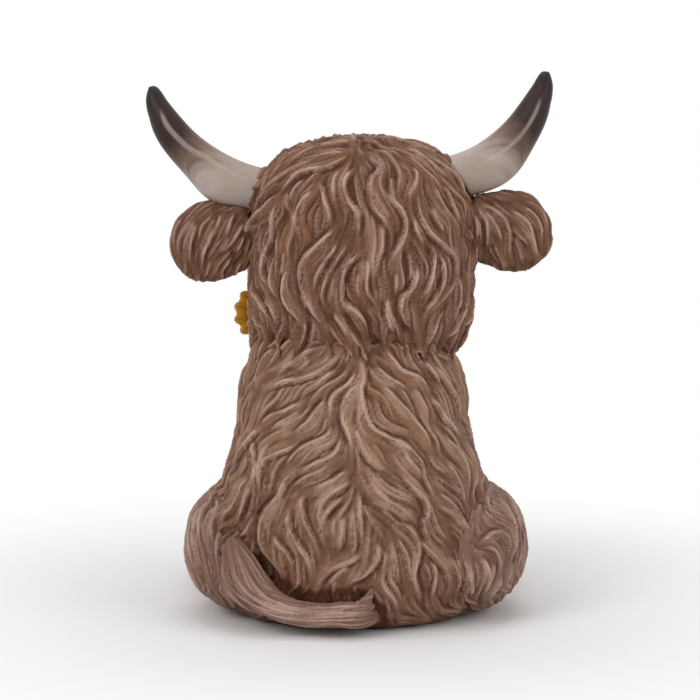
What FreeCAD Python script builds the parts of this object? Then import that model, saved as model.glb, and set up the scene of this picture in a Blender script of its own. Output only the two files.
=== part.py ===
# Seated long-haired cow figurine in hand-painted cast resin, as the separate castings that are
# glued together on the bench. Millimetres; +Z is up, +Y is the way the cow faces, -X is the
# cow's own left, and the origin is on the table under the figurine, on the face of its felt.
import FreeCAD, Part

import math
import os

import Sketcher

Vector = FreeCAD.Vector
Rotation = FreeCAD.Rotation
Placement = FreeCAD.Placement

UP = Vector(0, 0, 1)
FORWARD = Vector(0, 1, 0)
SIDES = {"left": -1, "right": 1}

# Driving sizes. They go into the spreadsheet below, and everything else follows from them.
SIZES = {
    # felt sheet and pour-hole plug under the body
    "felt_thickness": 1.0,
    "felt_margin": 4.0,
    "plug_diameter": 26.0,
    "plug_flange_diameter": 32.0,
    "plug_flange_thickness": 2.0,
    # hollow torso casting
    "torso_height": 81.0,
    "torso_width": 86.0,
    "torso_depth": 74.0,
    "torso_wall": 6.0,
    "neck_spigot_width": 32.0,
    "neck_spigot_depth": 22.0,
    "neck_spigot_height": 7.0,
    "lock_depth": 1.3,
    # solid head casting
    "head_height": 59.5,
    "head_width": 69.0,
    "head_depth": 62.0,
    "head_side_shift": 2.4,
    "glue_gap": 0.15,
    "peg_diameter": 5.0,
    "ear_peg_length": 17.5,
    "ear_peg_inset": 3.5,
    "leg_peg_depth": 3.5,
    "dowel_diameter": 3.0,
    "dowel_length": 16.0,
    # horns: where they root in the head, and how far out, up and forward each tip goes
    "horn_diameter": 13.0,
    "horn_root_inset": 13.3,
    "horn_root_forward": 4.0,
    "left_horn_root_drop": 17.8,
    "left_horn_spread": 41.2,
    "left_horn_rise": 32.8,
    "right_horn_root_drop": 13.8,
    "right_horn_spread": 34.0,
    "right_horn_rise": 33.2,
    "horn_forward_sweep": 5.0,
    # ears
    "ear_length": 33.0,
    "ear_height": 25.0,
    "ear_thickness": 11.5,
    "ear_root_inset": 10.2,
    "ear_forward": 3.0,
    "left_ear_drop": 29.5,
    "right_ear_drop": 26.5,
    "ear_droop": 2.5,
    "ear_bowl_depth": 2.5,
    # face
    "eye_diameter": 10.5,
    "eye_spacing": 32.0,
    "eye_rise": 31.0,
    "eye_inset": 5.8,
    "forelock_thickness": 3.0,
    "forelock_width": 50.0,
    "forelock_tip_rise": 21.5,
    "forelock_back": 4.0,
    "muzzle_width": 39.0,
    "muzzle_depth": 36.0,
    "muzzle_height": 26.0,
    "muzzle_inset": 1.8,
    "muzzle_rise": 15.0,
    "nostril_width": 5.5,
    "nostril_height": 4.0,
    "nostril_depth": 5.0,
    "nostril_spacing": 17.0,
    # forelegs
    "foreleg_top_diameter": 21.0,
    "foreleg_top_inset": 18.4,
    "foreleg_top_forward": 9.0,
    "foreleg_top_drop": 7.5,
    "foreleg_foot_side": 16.5,
    "foreleg_foot_gap": 8.5,
    # hind legs
    "haunch_width": 37.0,
    "haunch_length": 60.0,
    "haunch_height": 40.0,
    "haunch_inset": 10.0,
    "haunch_side_shift": 1.0,
    "haunch_back_shift": 6.0,
    "haunch_centre_height": 19.0,
    "hind_foot_diameter": 23.0,
    "hind_foot_reach": 48.0,
    "hind_foot_height": 13.5,
    # hooves
    "hoof_diameter": 18.0,
    "hoof_height": 11.0,
    "hoof_cleft_width": 2.2,
    "hoof_edge_radius": 1.2,
    # tail, laid round the back of the base towards the cow's left haunch
    "tail_diameter": 8.0,
    "tail_root_side": 9.0,
    "tail_reach": 48.0,
    "tail_rise": 24.5,
    "tail_inset": 2.1,
    # sunflower held in the mouth
    "bloom_diameter": 18.8,
    "bloom_lobe_diameter": 4.0,
    "bloom_thickness": 1.8,
    "bloom_side": 27.4,
    "bloom_inset": 7.3,
    "bloom_rise": 4.0,
    "seed_disc_diameter": 8.0,
    "seed_disc_height": 1.8,
    "seed_disc_fillet": 0.9,
    "stem_diameter": 2.4,
    "leaf_length": 12.0,
    "leaf_width": 6.0,
    "leaf_thickness": 1.2,
}

# Angles in degrees, and counts.
BLOOM_TURN = 18.0
HOOF_TAPER = -7.0
FORE_HOOF_TURN = 6.0
HIND_FOOT_TURN = 6.0
PETAL_COUNT = 13
TORSO_LOCKS = 30
HEAD_LOCKS = 24
OVAL_POINTS = 16

# The way that the flower's leaf points, and the way that its upper face looks.
LEAF_HEADING = Vector(-1, 0.4, -0.47)
LEAF_FACE = Vector(0, -0.3, 1)

# How far a cutting tool runs past the face that it cuts, as a share of the wall.
OVERRUN_SHARE = 0.5

# The levelling box across the torso, and a hoof's cleft through the hoof, as shares of them.
LEVEL_BOX_SHARE = 3
CLEFT_SHARE = 3

# The bowl in the front of an ear, as shares of the ear's length and height.
EAR_BOWL_SHARES = (0.5, 0.68)

# How far out from the foreleg's middle its peg starts, as a share of the leg's thickness.
LEG_PEG_SHARE = 0.3

# Torso sections: height, half width, half depth and forward shift of the centre, as shares of
# the torso's height, half width, half depth and half depth.
TORSO_SHARES = (
    (0.00, 0.86, 0.84, -0.16),
    (0.06, 0.95, 0.96, -0.19),
    (0.16, 1.00, 1.00, -0.22),
    (0.30, 0.99, 1.00, -0.22),
    (0.46, 0.935, 0.95, -0.20),
    (0.61, 0.855, 0.88, -0.16),
    (0.76, 0.80, 0.80, -0.11),
    (0.89, 0.745, 0.73, -0.06),
    (1.00, 0.70, 0.68, -0.03),
)

# Head sections, the same way, from the neck seat to the crown.
HEAD_SHARES = (
    (0.00, 0.88, 0.83, 0.00),
    (0.10, 0.97, 0.92, 0.03),
    (0.28, 1.00, 1.00, 0.07),
    (0.48, 0.99, 1.01, 0.09),
    (0.66, 0.97, 0.98, 0.09),
    (0.80, 0.885, 0.89, 0.07),
    (0.90, 0.73, 0.75, 0.05),
    (0.965, 0.50, 0.54, 0.04),
    (1.00, 0.22, 0.24, 0.03),
)

# One lock of hair across, from crest to crest: how deep it is hollowed, as shares of the depth.
LOCK_SHARES = (0.0, 0.72, 1.0, 0.72)

# How far the locks drift round from the spine at each section, as shares of one lock's width.
TORSO_SWING_SHARES = (1.9, 1.8, 1.5, 1.5, 0.9, 0.9, 0.3, 0.4, 0.0)
HEAD_SWING_SHARES = (0.5, 0.2, 0.6, 0.0, 0.5, 0.1, 0.2, 0.0, 0.0)

# How far the head and torso reach forwards and back, as shares of their half depths.
HEAD_FRONT_SHARE = 1.09
TORSO_BACK_SHARE = 1.22
BASE_FRONT_SHARE = 0.77

# Horn centreline: outwards and upwards as shares of spread and rise, and the horn's thickness.
HORN_SHARES = (
    (0.00, 0.00, 1.00),
    (0.20, 0.06, 1.00),
    (0.40, 0.14, 0.97),
    (0.605, 0.28, 0.92),
    (0.78, 0.463, 0.84),
    (0.90, 0.66, 0.72),
    (0.965, 0.84, 0.48),
    (0.99, 0.95, 0.24),
    (1.00, 1.00, 0.08),
)

# Ear sections along its length: place, height and thickness.
EAR_SHARES = (
    (0.00, 0.50, 0.72),
    (0.22, 0.66, 0.84),
    (0.45, 0.92, 0.97),
    (0.66, 1.00, 1.00),
    (0.83, 0.86, 0.90),
    (0.94, 0.56, 0.64),
    (1.00, 0.16, 0.22),
)

# Foreleg from shoulder to pastern: how far along sideways, forwards and down, and thickness.
FORELEG_SHARES = (
    (0.00, 0.00, 0.00, 0.62),
    (0.00, 0.08, 0.16, 1.00),
    (0.06, 0.34, 0.42, 1.00),
    (0.45, 0.72, 0.68, 0.88),
    (0.90, 0.97, 0.88, 0.80),
    (1.00, 1.00, 0.96, 0.82),
    (1.00, 1.00, 1.00, 0.84),
)

# Hind foot from inside the haunch to the hoof's seat: forward reach and thickness.
HIND_FOOT_SHARES = (
    (0.10, 0.90),
    (0.45, 1.06),
    (0.75, 1.00),
    (1.00, 0.84),
)

# Tail from the rump to the tip of its tuft: sideways, back and up as shares of the tail's
# reach, back and rise, and its thickness.
TAIL_SHARES = (
    (0.00, 0.86, 0.34, 0.85),
    (0.12, 0.97, 0.25, 0.98),
    (0.34, 1.02, 0.235, 1.00),
    (0.56, 0.985, 0.26, 1.02),
    (0.74, 0.93, 0.37, 1.24),
    (0.87, 0.86, 0.55, 1.50),
    (0.95, 0.79, 0.76, 1.20),
    (1.00, 0.73, 1.00, 0.30),
)

# Lower edge of the forelock: sideways as shares of its half width, down as shares of its length.
# Lock tips and the notches between them alternate.
FORELOCK_SHARES = (
    (-1.00, 0.45),
    (-0.80, 0.74),
    (-0.62, 0.60),
    (-0.44, 0.90),
    (-0.24, 0.76),
    (-0.04, 1.00),
    (0.18, 0.78),
    (0.40, 0.95),
    (0.60, 0.62),
    (0.82, 0.76),
    (1.00, 0.45),
)

# A nostril from the middle of the muzzle: sideways, forwards and up, as shares of the nostril
# spacing and the muzzle's depth and height; and the parting of the lips, forwards and down.
NOSTRIL_SHARES = (0.5, 0.46, 0.14)
LIPS_SHARES = (0.38, 0.26)

# Stem from inside the mouth to the back of the bloom: shares of the way sideways, back and down.
STEM_SHARES = (
    (0.10, 0.00, 0.00),
    (0.38, 0.12, 0.10),
    (0.62, 0.48, 0.42),
    (0.82, 0.92, 0.80),
    (0.97, 1.00, 1.00),
)

doc = FreeCAD.newDocument("cow_figurine")
sheet = doc.addObject("Spreadsheet::Sheet", "Sizes")
for row, (alias, value) in enumerate(SIZES.items(), start=1):
    sheet.set(f"A{row}", alias.replace("_", " "))
    sheet.set(f"B{row}", str(value))
    sheet.setAlias(f"B{row}", alias)
doc.recompute()


def size(alias):
    """A driving size, read from the spreadsheet."""
    return float(sheet.get(alias))


def bind(piece, **expressions):
    """Ties properties of a piece to cells of the spreadsheet; {name} stands for a cell."""
    cells = {alias: f"Sizes.{alias}" for alias in SIZES}
    for name, expression in expressions.items():
        piece.setExpression(name.replace("__", "."), expression.format(**cells))
    return piece


def oval(name, half_width, half_depth, centre, rotation=Rotation()):
    """A closed smooth oval, to loft or extrude, through points at even turns."""
    turns = [2 * math.pi * step / OVAL_POINTS for step in range(OVAL_POINTS)]
    points = [Vector(half_width * math.sin(turn), -half_depth * math.cos(turn), 0) for turn in turns]
    curve = Part.BSplineCurve()
    even = [step / OVAL_POINTS for step in range(OVAL_POINTS + 1)]
    curve.interpolate(Points=points, PeriodicFlag=True, Parameters=even)
    section = doc.addObject("Part::Feature", name)
    section.Shape = Part.Wire([curve.toShape()])
    section.Placement = Placement(centre, rotation)
    return section


def lock_oval(name, half_width, half_depth, centre, locks, depth, swing):
    """An oval with locks of hair hollowed into it, drifting round from its back by their swing."""
    lock_turn = 2 * math.pi / locks
    steps = len(LOCK_SHARES)
    points = []
    for step in range(locks * steps):
        turn = lock_turn * step / steps
        turn += swing * lock_turn * math.sin(turn)
        hollow = size("glue_gap") + depth * LOCK_SHARES[step % steps]
        points.append(
            Vector((half_width - hollow) * math.sin(turn), -(half_depth - hollow) * math.cos(turn), 0)
        )
    curve = Part.BSplineCurve()
    even = [step / len(points) for step in range(len(points) + 1)]
    curve.interpolate(Points=points, PeriodicFlag=True, Parameters=even)
    section = doc.addObject("Part::Feature", name)
    section.Shape = Part.Wire([curve.toShape()])
    section.Placement = Placement(centre, Rotation())
    return section


def loft(name, sections):
    """A smooth solid through closed sections."""
    solid = doc.addObject("Part::Loft", name)
    solid.Sections = sections
    solid.Solid = True
    solid.Ruled = False
    return solid


def tapered_tube(name, points, diameters, seam):
    """A round limb through points; diameters are expressions, and seam is the way its seam faces."""
    sections = []
    last = len(points) - 1
    for index, (point, diameter) in enumerate(zip(points, diameters)):
        heading = points[min(index + 1, last)] - points[max(index - 1, 0)]
        section = doc.addObject("Part::Circle", f"{name}_section_{index}")
        bind(section, Radius=f"({diameter}) / 2")
        section.Placement = Placement(point, Rotation(seam, Vector(), heading, "ZXY"))
        sections.append(section)
    return loft(name, sections)


def cylinder(name, start, heading, radius, height):
    """A round bar from a point along a heading; radius and height are expressions."""
    bar = doc.addObject("Part::Cylinder", name)
    bind(bar, Radius=radius, Height=height)
    bar.Placement = Placement(start, Rotation(UP, heading))
    return bar


def ellipsoid(name, centre, width, depth, height, rotation=Rotation()):
    """An ellipsoid with its full sizes along X, Y and Z as expressions."""
    ball = doc.addObject("Part::Ellipsoid", name)
    bind(ball, Radius1=f"({height}) / 2", Radius2=f"({width}) / 2", Radius3=f"({depth}) / 2")
    ball.Angle1 = -90
    ball.Placement = Placement(centre, rotation)
    return ball


def cut(name, base, *tools):
    """The base with every tool taken out of it, one after another."""
    result = base
    for index, tool in enumerate(tools):
        last = index == len(tools) - 1
        step = doc.addObject("Part::Cut", name if last else f"{name}_cut_{index}")
        step.Base = result
        step.Tool = tool
        result = step
    return result


def fuse(name, *pieces):
    """Several shapes made one casting."""
    result = doc.addObject("Part::MultiFuse", name)
    result.Shapes = list(pieces)
    return result


def common(name, base, tool):
    """What two shapes share."""
    result = doc.addObject("Part::Common", name)
    result.Base = base
    result.Tool = tool
    return result


def origin_plane(body, role):
    """One of a body's own origin planes, such as XY_Plane."""
    return next(f for f in body.Origin.OriginFeatures if f.Role == role)


def circle_sketch(body, name, diameter, centre=None):
    """A sketch of one circle on a body's base plane; centre is an expression along X."""
    sketch = body.newObject("Sketcher::SketchObject", name)
    sketch.AttachmentSupport = (origin_plane(body, "XY_Plane"), [""])
    sketch.MapMode = "FlatFace"
    start = Vector(1, 0, 0) if centre else Vector(0, 0, 0)
    sketch.addGeometry(Part.Circle(start, UP, 1), False)
    sketch.addConstraint(Sketcher.Constraint("Diameter", 0, 2))
    sketch.setExpression("Constraints[0]", diameter)
    if centre:
        sketch.addConstraint(Sketcher.Constraint("DistanceX", -1, 1, 0, 3, 1))
        sketch.setExpression("Constraints[1]", centre)
        sketch.addConstraint(Sketcher.Constraint("PointOnObject", 0, 3, -1))
    else:
        sketch.addConstraint(Sketcher.Constraint("Coincident", 0, 3, -1, 1))
    return sketch


def pad(body, name, sketch, length):
    """A sketch raised by a spreadsheet expression."""
    feature = body.newObject("PartDesign::Pad", name)
    feature.Profile = sketch
    feature.setExpression("Length", length)
    return feature


# Heights, sides and fronts that several pieces share.
base_height = size("felt_thickness")
neck_height = base_height + size("torso_height")
crown_height = neck_height + size("head_height")
head_side = size("head_width") / 2
head_front = size("head_depth") / 2 * HEAD_FRONT_SHARE
torso_side = size("torso_width") / 2
torso_back = size("torso_depth") / 2 * TORSO_BACK_SHARE
base_front = size("torso_depth") / 2 * BASE_FRONT_SHARE
base_shift = size("torso_depth") / 2 * TORSO_SHARES[0][3]
overrun = size("torso_wall") * OVERRUN_SHARE


def stacked_ovals(name, shares, foot, height, half_width, half_depth, shift=Vector(), inset=0):
    """Level ovals stacked from foot upwards, each inset from the outer form by a wall."""
    sections = []
    for index, (up, wide, deep, forward) in enumerate(shares):
        sections.append(
            oval(
                f"{name}_section_{index}",
                half_width * wide - inset,
                half_depth * deep - inset,
                shift + Vector(0, half_depth * forward, foot + height * up),
            )
        )
    return loft(name, sections)


def make_torso_form():
    """The torso's outer form, from the base to the neck seat."""
    return stacked_ovals(
        "torso_form",
        TORSO_SHARES,
        base_height,
        size("torso_height"),
        size("torso_width") / 2,
        size("torso_depth") / 2,
    )


def make_head_form(name, forward):
    """The head's outer form on the neck seat, or moved forward by the depth of its fringe."""
    return stacked_ovals(
        name,
        HEAD_SHARES,
        neck_height,
        size("head_height"),
        size("head_width") / 2,
        size("head_depth") / 2,
        shift=Vector(size("head_side_shift"), forward, 0),
    )


def carved_locks(name, shares, swings, locks, foot, height, half_width, half_depth, side_shift):
    """A head or torso form with its hair carved in, no wider anywhere than the plain form."""
    sections = []
    for index, ((up, wide, deep, forward), swing) in enumerate(zip(shares, swings)):
        sections.append(
            lock_oval(
                f"{name}_section_{index}",
                half_width * wide,
                half_depth * deep,
                Vector(side_shift, half_depth * forward, foot + height * up),
                locks,
                size("lock_depth") * wide,
                swing,
            )
        )
    return loft(name, sections)


torso_form = make_torso_form()
head_form = make_head_form("head_form", 0)
torso_hair = carved_locks(
    "torso_hair",
    TORSO_SHARES,
    TORSO_SWING_SHARES,
    TORSO_LOCKS,
    base_height,
    size("torso_height"),
    size("torso_width") / 2,
    size("torso_depth") / 2,
    0,
)
head_hair = carved_locks(
    "head_hair",
    HEAD_SHARES,
    HEAD_SWING_SHARES,
    HEAD_LOCKS,
    neck_height,
    size("head_height"),
    size("head_width") / 2,
    size("head_depth") / 2,
    size("head_side_shift"),
)


def extruded_oval(name, half_width, half_depth, centre, height):
    """An upright bar of oval section; height is a spreadsheet expression."""
    bar = doc.addObject("Part::Extrusion", name)
    bar.Base = oval(f"{name}_outline", half_width, half_depth, centre)
    bar.DirMode = "Custom"
    bar.Dir = UP
    bar.Solid = True
    bind(bar, LengthFwd=height)
    return bar


def under_box():
    """Everything below the castings' flat base, to cut them level with."""
    box = doc.addObject("Part::Box", "under_base")
    bind(
        box,
        Length=f"{{torso_width}} * {LEVEL_BOX_SHARE}",
        Width=f"{{torso_depth}} * {LEVEL_BOX_SHARE}",
        Height="{torso_height}",
        Placement__Base__x=f"-{{torso_width}} * {LEVEL_BOX_SHARE} / 2",
        Placement__Base__y=f"-{{torso_depth}} * {LEVEL_BOX_SHARE} / 2",
        Placement__Base__z="{felt_thickness} - {torso_height}",
    )
    return box


under_base = under_box()


def horn_points(side):
    """The horn's centreline from inside the head to its tip."""
    sign = SIDES[side]
    points = []
    for out, up, _ in HORN_SHARES:
        points.append(
            Vector(
                size("head_side_shift")
                + sign * (head_side - size("horn_root_inset") + size(f"{side}_horn_spread") * out),
                size("horn_root_forward") + size("horn_forward_sweep") * up,
                crown_height - size(f"{side}_horn_root_drop") + size(f"{side}_horn_rise") * up,
            )
        )
    return points


def dowel_heading(side):
    """The way out of the head along the horn's first stretch."""
    points = horn_points(side)
    heading = points[2] - points[0]
    return heading.normalize()


def dowel_start(side):
    """The dowel's inner end, so that half of it lies each side of the head's skin."""
    return horn_points(side)[1] - dowel_heading(side) * (size("dowel_length") / 2)


def make_dowel(side, name, clearance):
    """A steel dowel between head and horn, or with a clearance the bore that takes it."""
    return cylinder(
        f"{side}_{name}",
        dowel_start(side),
        dowel_heading(side),
        f"{{dowel_diameter}} / 2 + {clearance}",
        "{dowel_length}",
    )


def make_horn_form(side):
    """The horn's whole curved cone, before it is cut to the head."""
    diameters = [f"{{horn_diameter}} * {thick}" for _, _, thick in HORN_SHARES]
    return tapered_tube(f"{side}_horn_form", horn_points(side), diameters, FORWARD)


def make_horn(side):
    """A horn, cut to the head's skin and bored for its dowel."""
    return cut(f"{side}_horn", horn_forms[side], head_form, dowel_bores[side])


horn_forms = {side: make_horn_form(side) for side in SIDES}
dowel_bores = {side: make_dowel(side, "dowel_bore", "{glue_gap}") for side in SIDES}
dowels = [make_dowel(side, "dowel", "0") for side in SIDES]
horns = [make_horn(side) for side in SIDES]
horn_dowels = doc.addObject("Part::Compound", "horn_dowels")
horn_dowels.Links = dowels


def ear_point(side, along):
    """A place on the ear's centreline, from inside the head outwards."""
    return Vector(
        size("head_side_shift")
        + SIDES[side] * (head_side - size("ear_root_inset") + size("ear_length") * along),
        size("ear_forward"),
        crown_height - size(f"{side}_ear_drop") - size("ear_droop") * along,
    )


def make_ear_peg(side, name, clearance):
    """The ear's peg into the head, or with a clearance its socket."""
    inner = ear_point(side, 0) - Vector(SIDES[side] * size("ear_peg_inset"), 0, 0)
    return cylinder(
        f"{side}_{name}",
        inner,
        Vector(SIDES[side], 0, 0),
        f"{{peg_diameter}} / 2 + {clearance}",
        "{ear_peg_length}",
    )


def make_ear(side):
    """An ear with its shallow bowl to the front, cut to the head's skin, on its peg."""
    sections = []
    for index, (along, high, thick) in enumerate(EAR_SHARES):
        sections.append(
            oval(
                f"{side}_ear_section_{index}",
                size("ear_height") / 2 * high,
                size("ear_thickness") / 2 * thick,
                ear_point(side, along),
                Rotation(FORWARD, -90 * SIDES[side]),
            )
        )
    form = loft(f"{side}_ear_form", sections)
    long, high = EAR_BOWL_SHARES
    bowl_centre = ear_point(side, EAR_SHARES[3][0])
    bowl_centre.y += size("ear_thickness") / 2
    bowl = ellipsoid(
        f"{side}_ear_bowl",
        bowl_centre,
        f"{{ear_length}} * {long}",
        "{ear_bowl_depth} * 2",
        f"{{ear_height}} * {high}",
    )
    lobe = cut(f"{side}_ear_lobe", form, head_form, horn_forms[side], bowl)
    return fuse(f"{side}_ear", lobe, ear_pegs[side])


ear_sockets = {side: make_ear_peg(side, "ear_socket", "{glue_gap}") for side in SIDES}
ear_pegs = {side: make_ear_peg(side, "ear_peg", "0") for side in SIDES}
ears = [make_ear(side) for side in SIDES]


def make_eye(side, name, clearance):
    """A glossy eye ball, or with a clearance the socket that it sits in."""
    ball = doc.addObject("Part::Sphere", f"{side}_{name}")
    bind(ball, Radius=f"{{eye_diameter}} / 2 + {clearance}")
    centre = Vector(
        size("head_side_shift") + SIDES[side] * size("eye_spacing") / 2,
        head_front - size("eye_inset"),
        neck_height + size("eye_rise"),
    )
    ball.Placement = Placement(centre, Rotation(UP, FORWARD))
    return ball


eye_sockets = [make_eye(side, "eye_socket", "{glue_gap}") for side in SIDES]
eyes = [make_eye(side, "eye", "0") for side in SIDES]


def muzzle_centre():
    """The middle of the muzzle, just inside the front of the face."""
    return Vector(
        size("head_side_shift"), head_front - size("muzzle_inset"), neck_height + size("muzzle_rise")
    )


def make_muzzle_form():
    """The broad rounded muzzle, before it is cut to the face."""
    return ellipsoid(
        "muzzle_form",
        muzzle_centre(),
        "{muzzle_width}",
        "{muzzle_depth}",
        "{muzzle_height}",
    )


def make_nostril(side):
    """The hollow of one nostril, on the front of the muzzle."""
    across, out, up = NOSTRIL_SHARES
    return ellipsoid(
        f"{side}_nostril",
        muzzle_centre()
        + Vector(
            SIDES[side] * size("nostril_spacing") * across,
            size("muzzle_depth") * out,
            size("muzzle_height") * up,
        ),
        "{nostril_width}",
        "{nostril_depth}",
        "{nostril_height}",
    )


def bloom_point(depth=0):
    """The middle of the bloom's back, or a point behind it along its own axis."""
    forward = head_front - size("bloom_inset")
    centre = Vector(-size("bloom_side"), forward, neck_height + size("bloom_rise"))
    return centre - bloom_heading() * depth


def bloom_heading():
    """The way that the bloom faces."""
    return Rotation(UP, BLOOM_TURN).multVec(FORWARD)


def stem_points():
    """The stem from between the lips, back along the cheek, to the back of the bloom."""
    out, down = LIPS_SHARES
    mouth = muzzle_centre() + Vector(0, size("muzzle_depth") * out, -size("muzzle_height") * down)
    way = bloom_point(size("stem_diameter")) - mouth
    points = [
        mouth + Vector(way.x * out, way.y * back, way.z * down)
        for out, back, down in STEM_SHARES
    ]
    return points + [bloom_point()]


def make_stem(name, clearance):
    """The stem, or with a clearance the channel that it takes between the lips."""
    points = stem_points()
    diameters = [f"{{stem_diameter}} + 2 * {clearance}"] * len(points)
    return tapered_tube(name, points, diameters, FORWARD)


stem_channel = make_stem("stem_channel", "{glue_gap}")
stem = make_stem("flower_stem_form", "0")
muzzle_form = make_muzzle_form()
muzzle = cut(
    "muzzle",
    muzzle_form,
    head_form,
    make_nostril("left"),
    make_nostril("right"),
    stem_channel,
)


def make_neck_bar(name, clearance):
    """The oval spigot on the torso's neck, or with a clearance the head's socket for it."""
    foot = neck_height - overrun
    return extruded_oval(
        name,
        size("neck_spigot_width") / 2 + clearance,
        size("neck_spigot_depth") / 2 + clearance,
        Vector(0, 0, foot),
        f"{{torso_wall}} * {OVERRUN_SHARE} + {{neck_spigot_height}} + {clearance}",
    )


head = cut(
    "head_casting",
    head_hair,
    make_neck_bar("neck_socket", size("glue_gap")),
    *dowel_bores.values(),
    *ear_sockets.values(),
    *eye_sockets,
)


def make_forelock():
    """The fringe: a skin on the head's brow that ends below in pointed locks."""
    fringe_form = make_head_form("fringe_form", size("forelock_thickness"))
    half_width = size("forelock_width") / 2
    length = size("head_height") - size("forelock_tip_rise")
    middle = size("head_side_shift")
    back = -size("forelock_back")
    outline = [
        Vector(middle + half_width * across, back, crown_height - length * down)
        for across, down in FORELOCK_SHARES
    ]
    outline.append(Vector(middle + half_width, back, crown_height + overrun))
    outline.append(Vector(middle - half_width, back, crown_height + overrun))
    outline.append(outline[0])
    edge = doc.addObject("Part::Feature", "forelock_outline")
    edge.Shape = Part.makePolygon(outline)
    prism = doc.addObject("Part::Extrusion", "forelock_prism")
    prism.Base = edge
    prism.DirMode = "Custom"
    prism.Dir = FORWARD
    prism.Solid = True
    bind(prism, LengthFwd="{head_depth} + {forelock_back}")
    skin = common("forelock_skin", fringe_form, prism)
    return cut("forelock", skin, head_form, muzzle_form, *eye_sockets, *horns)


forelock = make_forelock()


def leg_peg(name, start, heading, depth, clearance):
    """A peg from inside a leg into the torso's wall, or with a clearance its socket."""
    return cylinder(
        name,
        start,
        heading,
        f"{{peg_diameter}} / 2 + {clearance}",
        f"{depth} + {clearance}",
    )


def fore_hoof_seat(side):
    """The middle of a fore hoof's sole, in front of the torso's foot."""
    return Vector(
        SIDES[side] * size("foreleg_foot_side"),
        base_front + size("foreleg_foot_gap"),
        base_height,
    )


def foreleg_points(side):
    """The foreleg's centreline from the shoulder to the top of the hoof."""
    sign = SIDES[side]
    top = Vector(
        sign * (torso_side - size("foreleg_top_inset")),
        size("foreleg_top_forward"),
        neck_height - size("foreleg_top_drop"),
    )
    foot = fore_hoof_seat(side) + UP * size("hoof_height")
    way = foot - top
    return [
        top + Vector(way.x * across, way.y * forward, way.z * down)
        for across, forward, down, _ in FORELEG_SHARES
    ]


def make_foreleg(side):
    """A foreleg, cut to the torso's chest and flank."""
    diameters = [f"{{foreleg_top_diameter}} * {thick}" for *_, thick in FORELEG_SHARES]
    outward = Vector(SIDES[side], 1, 0)
    form = tapered_tube(f"{side}_foreleg_form", foreleg_points(side), diameters, outward)
    trimmed = cut(f"{side}_foreleg_trim", form, torso_form, hind_masses[side])
    return fuse(f"{side}_foreleg", trimmed, foreleg_pegs[side])


def make_foreleg_peg(side, name, clearance):
    """The foreleg's peg at the shoulder, from the leg's outer half into the torso's wall."""
    outward = Vector(SIDES[side], 1, 0).normalize()
    start = foreleg_points(side)[2] + outward * (size("foreleg_top_diameter") * LEG_PEG_SHARE)
    depth = f"{{foreleg_top_diameter}} * {LEG_PEG_SHARE} + {{leg_peg_depth}}"
    return leg_peg(f"{side}_{name}", start, -outward, depth, clearance)


def make_haunch(side):
    """The haunch's rounded mass, turned so that its seam faces outwards."""
    return ellipsoid(
        f"{side}_haunch",
        Vector(
            size("haunch_side_shift") + SIDES[side] * (torso_side - size("haunch_inset")),
            -size("haunch_back_shift"),
            base_height + size("haunch_centre_height"),
        ),
        "{haunch_width}",
        "{haunch_length}",
        "{haunch_height}",
        Rotation(UP, 90 - 90 * SIDES[side]),
    )


def hind_heading(side):
    """The way that a hind foot points, turned a little outwards."""
    return Rotation(UP, -SIDES[side] * HIND_FOOT_TURN).multVec(FORWARD)


def hind_foot_points(side):
    """The hind foot's centreline, forward along the ground."""
    heel = Vector(
        SIDES[side] * (torso_side - size("haunch_inset")),
        0,
        base_height + size("hind_foot_height"),
    )
    reach = size("hind_foot_reach")
    return [heel + hind_heading(side) * (reach * share) for share, _ in HIND_FOOT_SHARES]


def make_hind_mass(side):
    """Haunch and hind foot in one, before they are cut to the torso and the base."""
    diameters = [f"{{hind_foot_diameter}} * {thick}" for _, thick in HIND_FOOT_SHARES]
    outward = Vector(SIDES[side], 0, 0)
    foot = tapered_tube(f"{side}_hind_foot_form", hind_foot_points(side), diameters, outward)
    return fuse(f"{side}_hind_mass", haunches[side], foot)


def make_hind_leg(side):
    """Haunch and hind foot in one casting, cut to the torso and level at the base."""
    trimmed = cut(f"{side}_hind_trim", hind_masses[side], torso_form, under_base)
    return fuse(f"{side}_hind_leg", trimmed, hind_pegs[side])


def make_hind_peg(side, name, clearance):
    """The hind leg's peg into the torso's flank."""
    start = Vector(
        SIDES[side] * size("torso_width") / 2,
        -size("haunch_back_shift"),
        base_height + size("haunch_centre_height"),
    )
    inward = Vector(-SIDES[side], 0, 0)
    return leg_peg(f"{side}_{name}", start, inward, "{leg_peg_depth}", clearance)


haunches = {side: make_haunch(side) for side in SIDES}
hind_masses = {side: make_hind_mass(side) for side in SIDES}
foreleg_pegs = {side: make_foreleg_peg(side, "foreleg_peg", "0") for side in SIDES}
foreleg_sockets = [make_foreleg_peg(side, "foreleg_socket", "{glue_gap}") for side in SIDES]
hind_pegs = {side: make_hind_peg(side, "hind_peg", "0") for side in SIDES}
hind_sockets = [make_hind_peg(side, "hind_socket", "{glue_gap}") for side in SIDES]
forelegs = [make_foreleg(side) for side in SIDES]
hind_legs = [make_hind_leg(side) for side in SIDES]


def make_tail():
    """The tail, laid along the base and up the left haunch, cut to what it lies against."""
    points = [
        Vector(
            size("tail_root_side") - size("tail_reach") * across,
            (size("tail_inset") - torso_back) * back,
            base_height + size("tail_rise") * up,
        )
        for across, back, up, _ in TAIL_SHARES
    ]
    diameters = [f"{{tail_diameter}} * {thick}" for *_, thick in TAIL_SHARES]
    form = tapered_tube("tail_form", points, diameters, -FORWARD)
    return cut("tail", form, torso_form, haunches["left"], under_base)


tail = make_tail()

plug_centre = Vector(0, base_shift, base_height)


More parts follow.
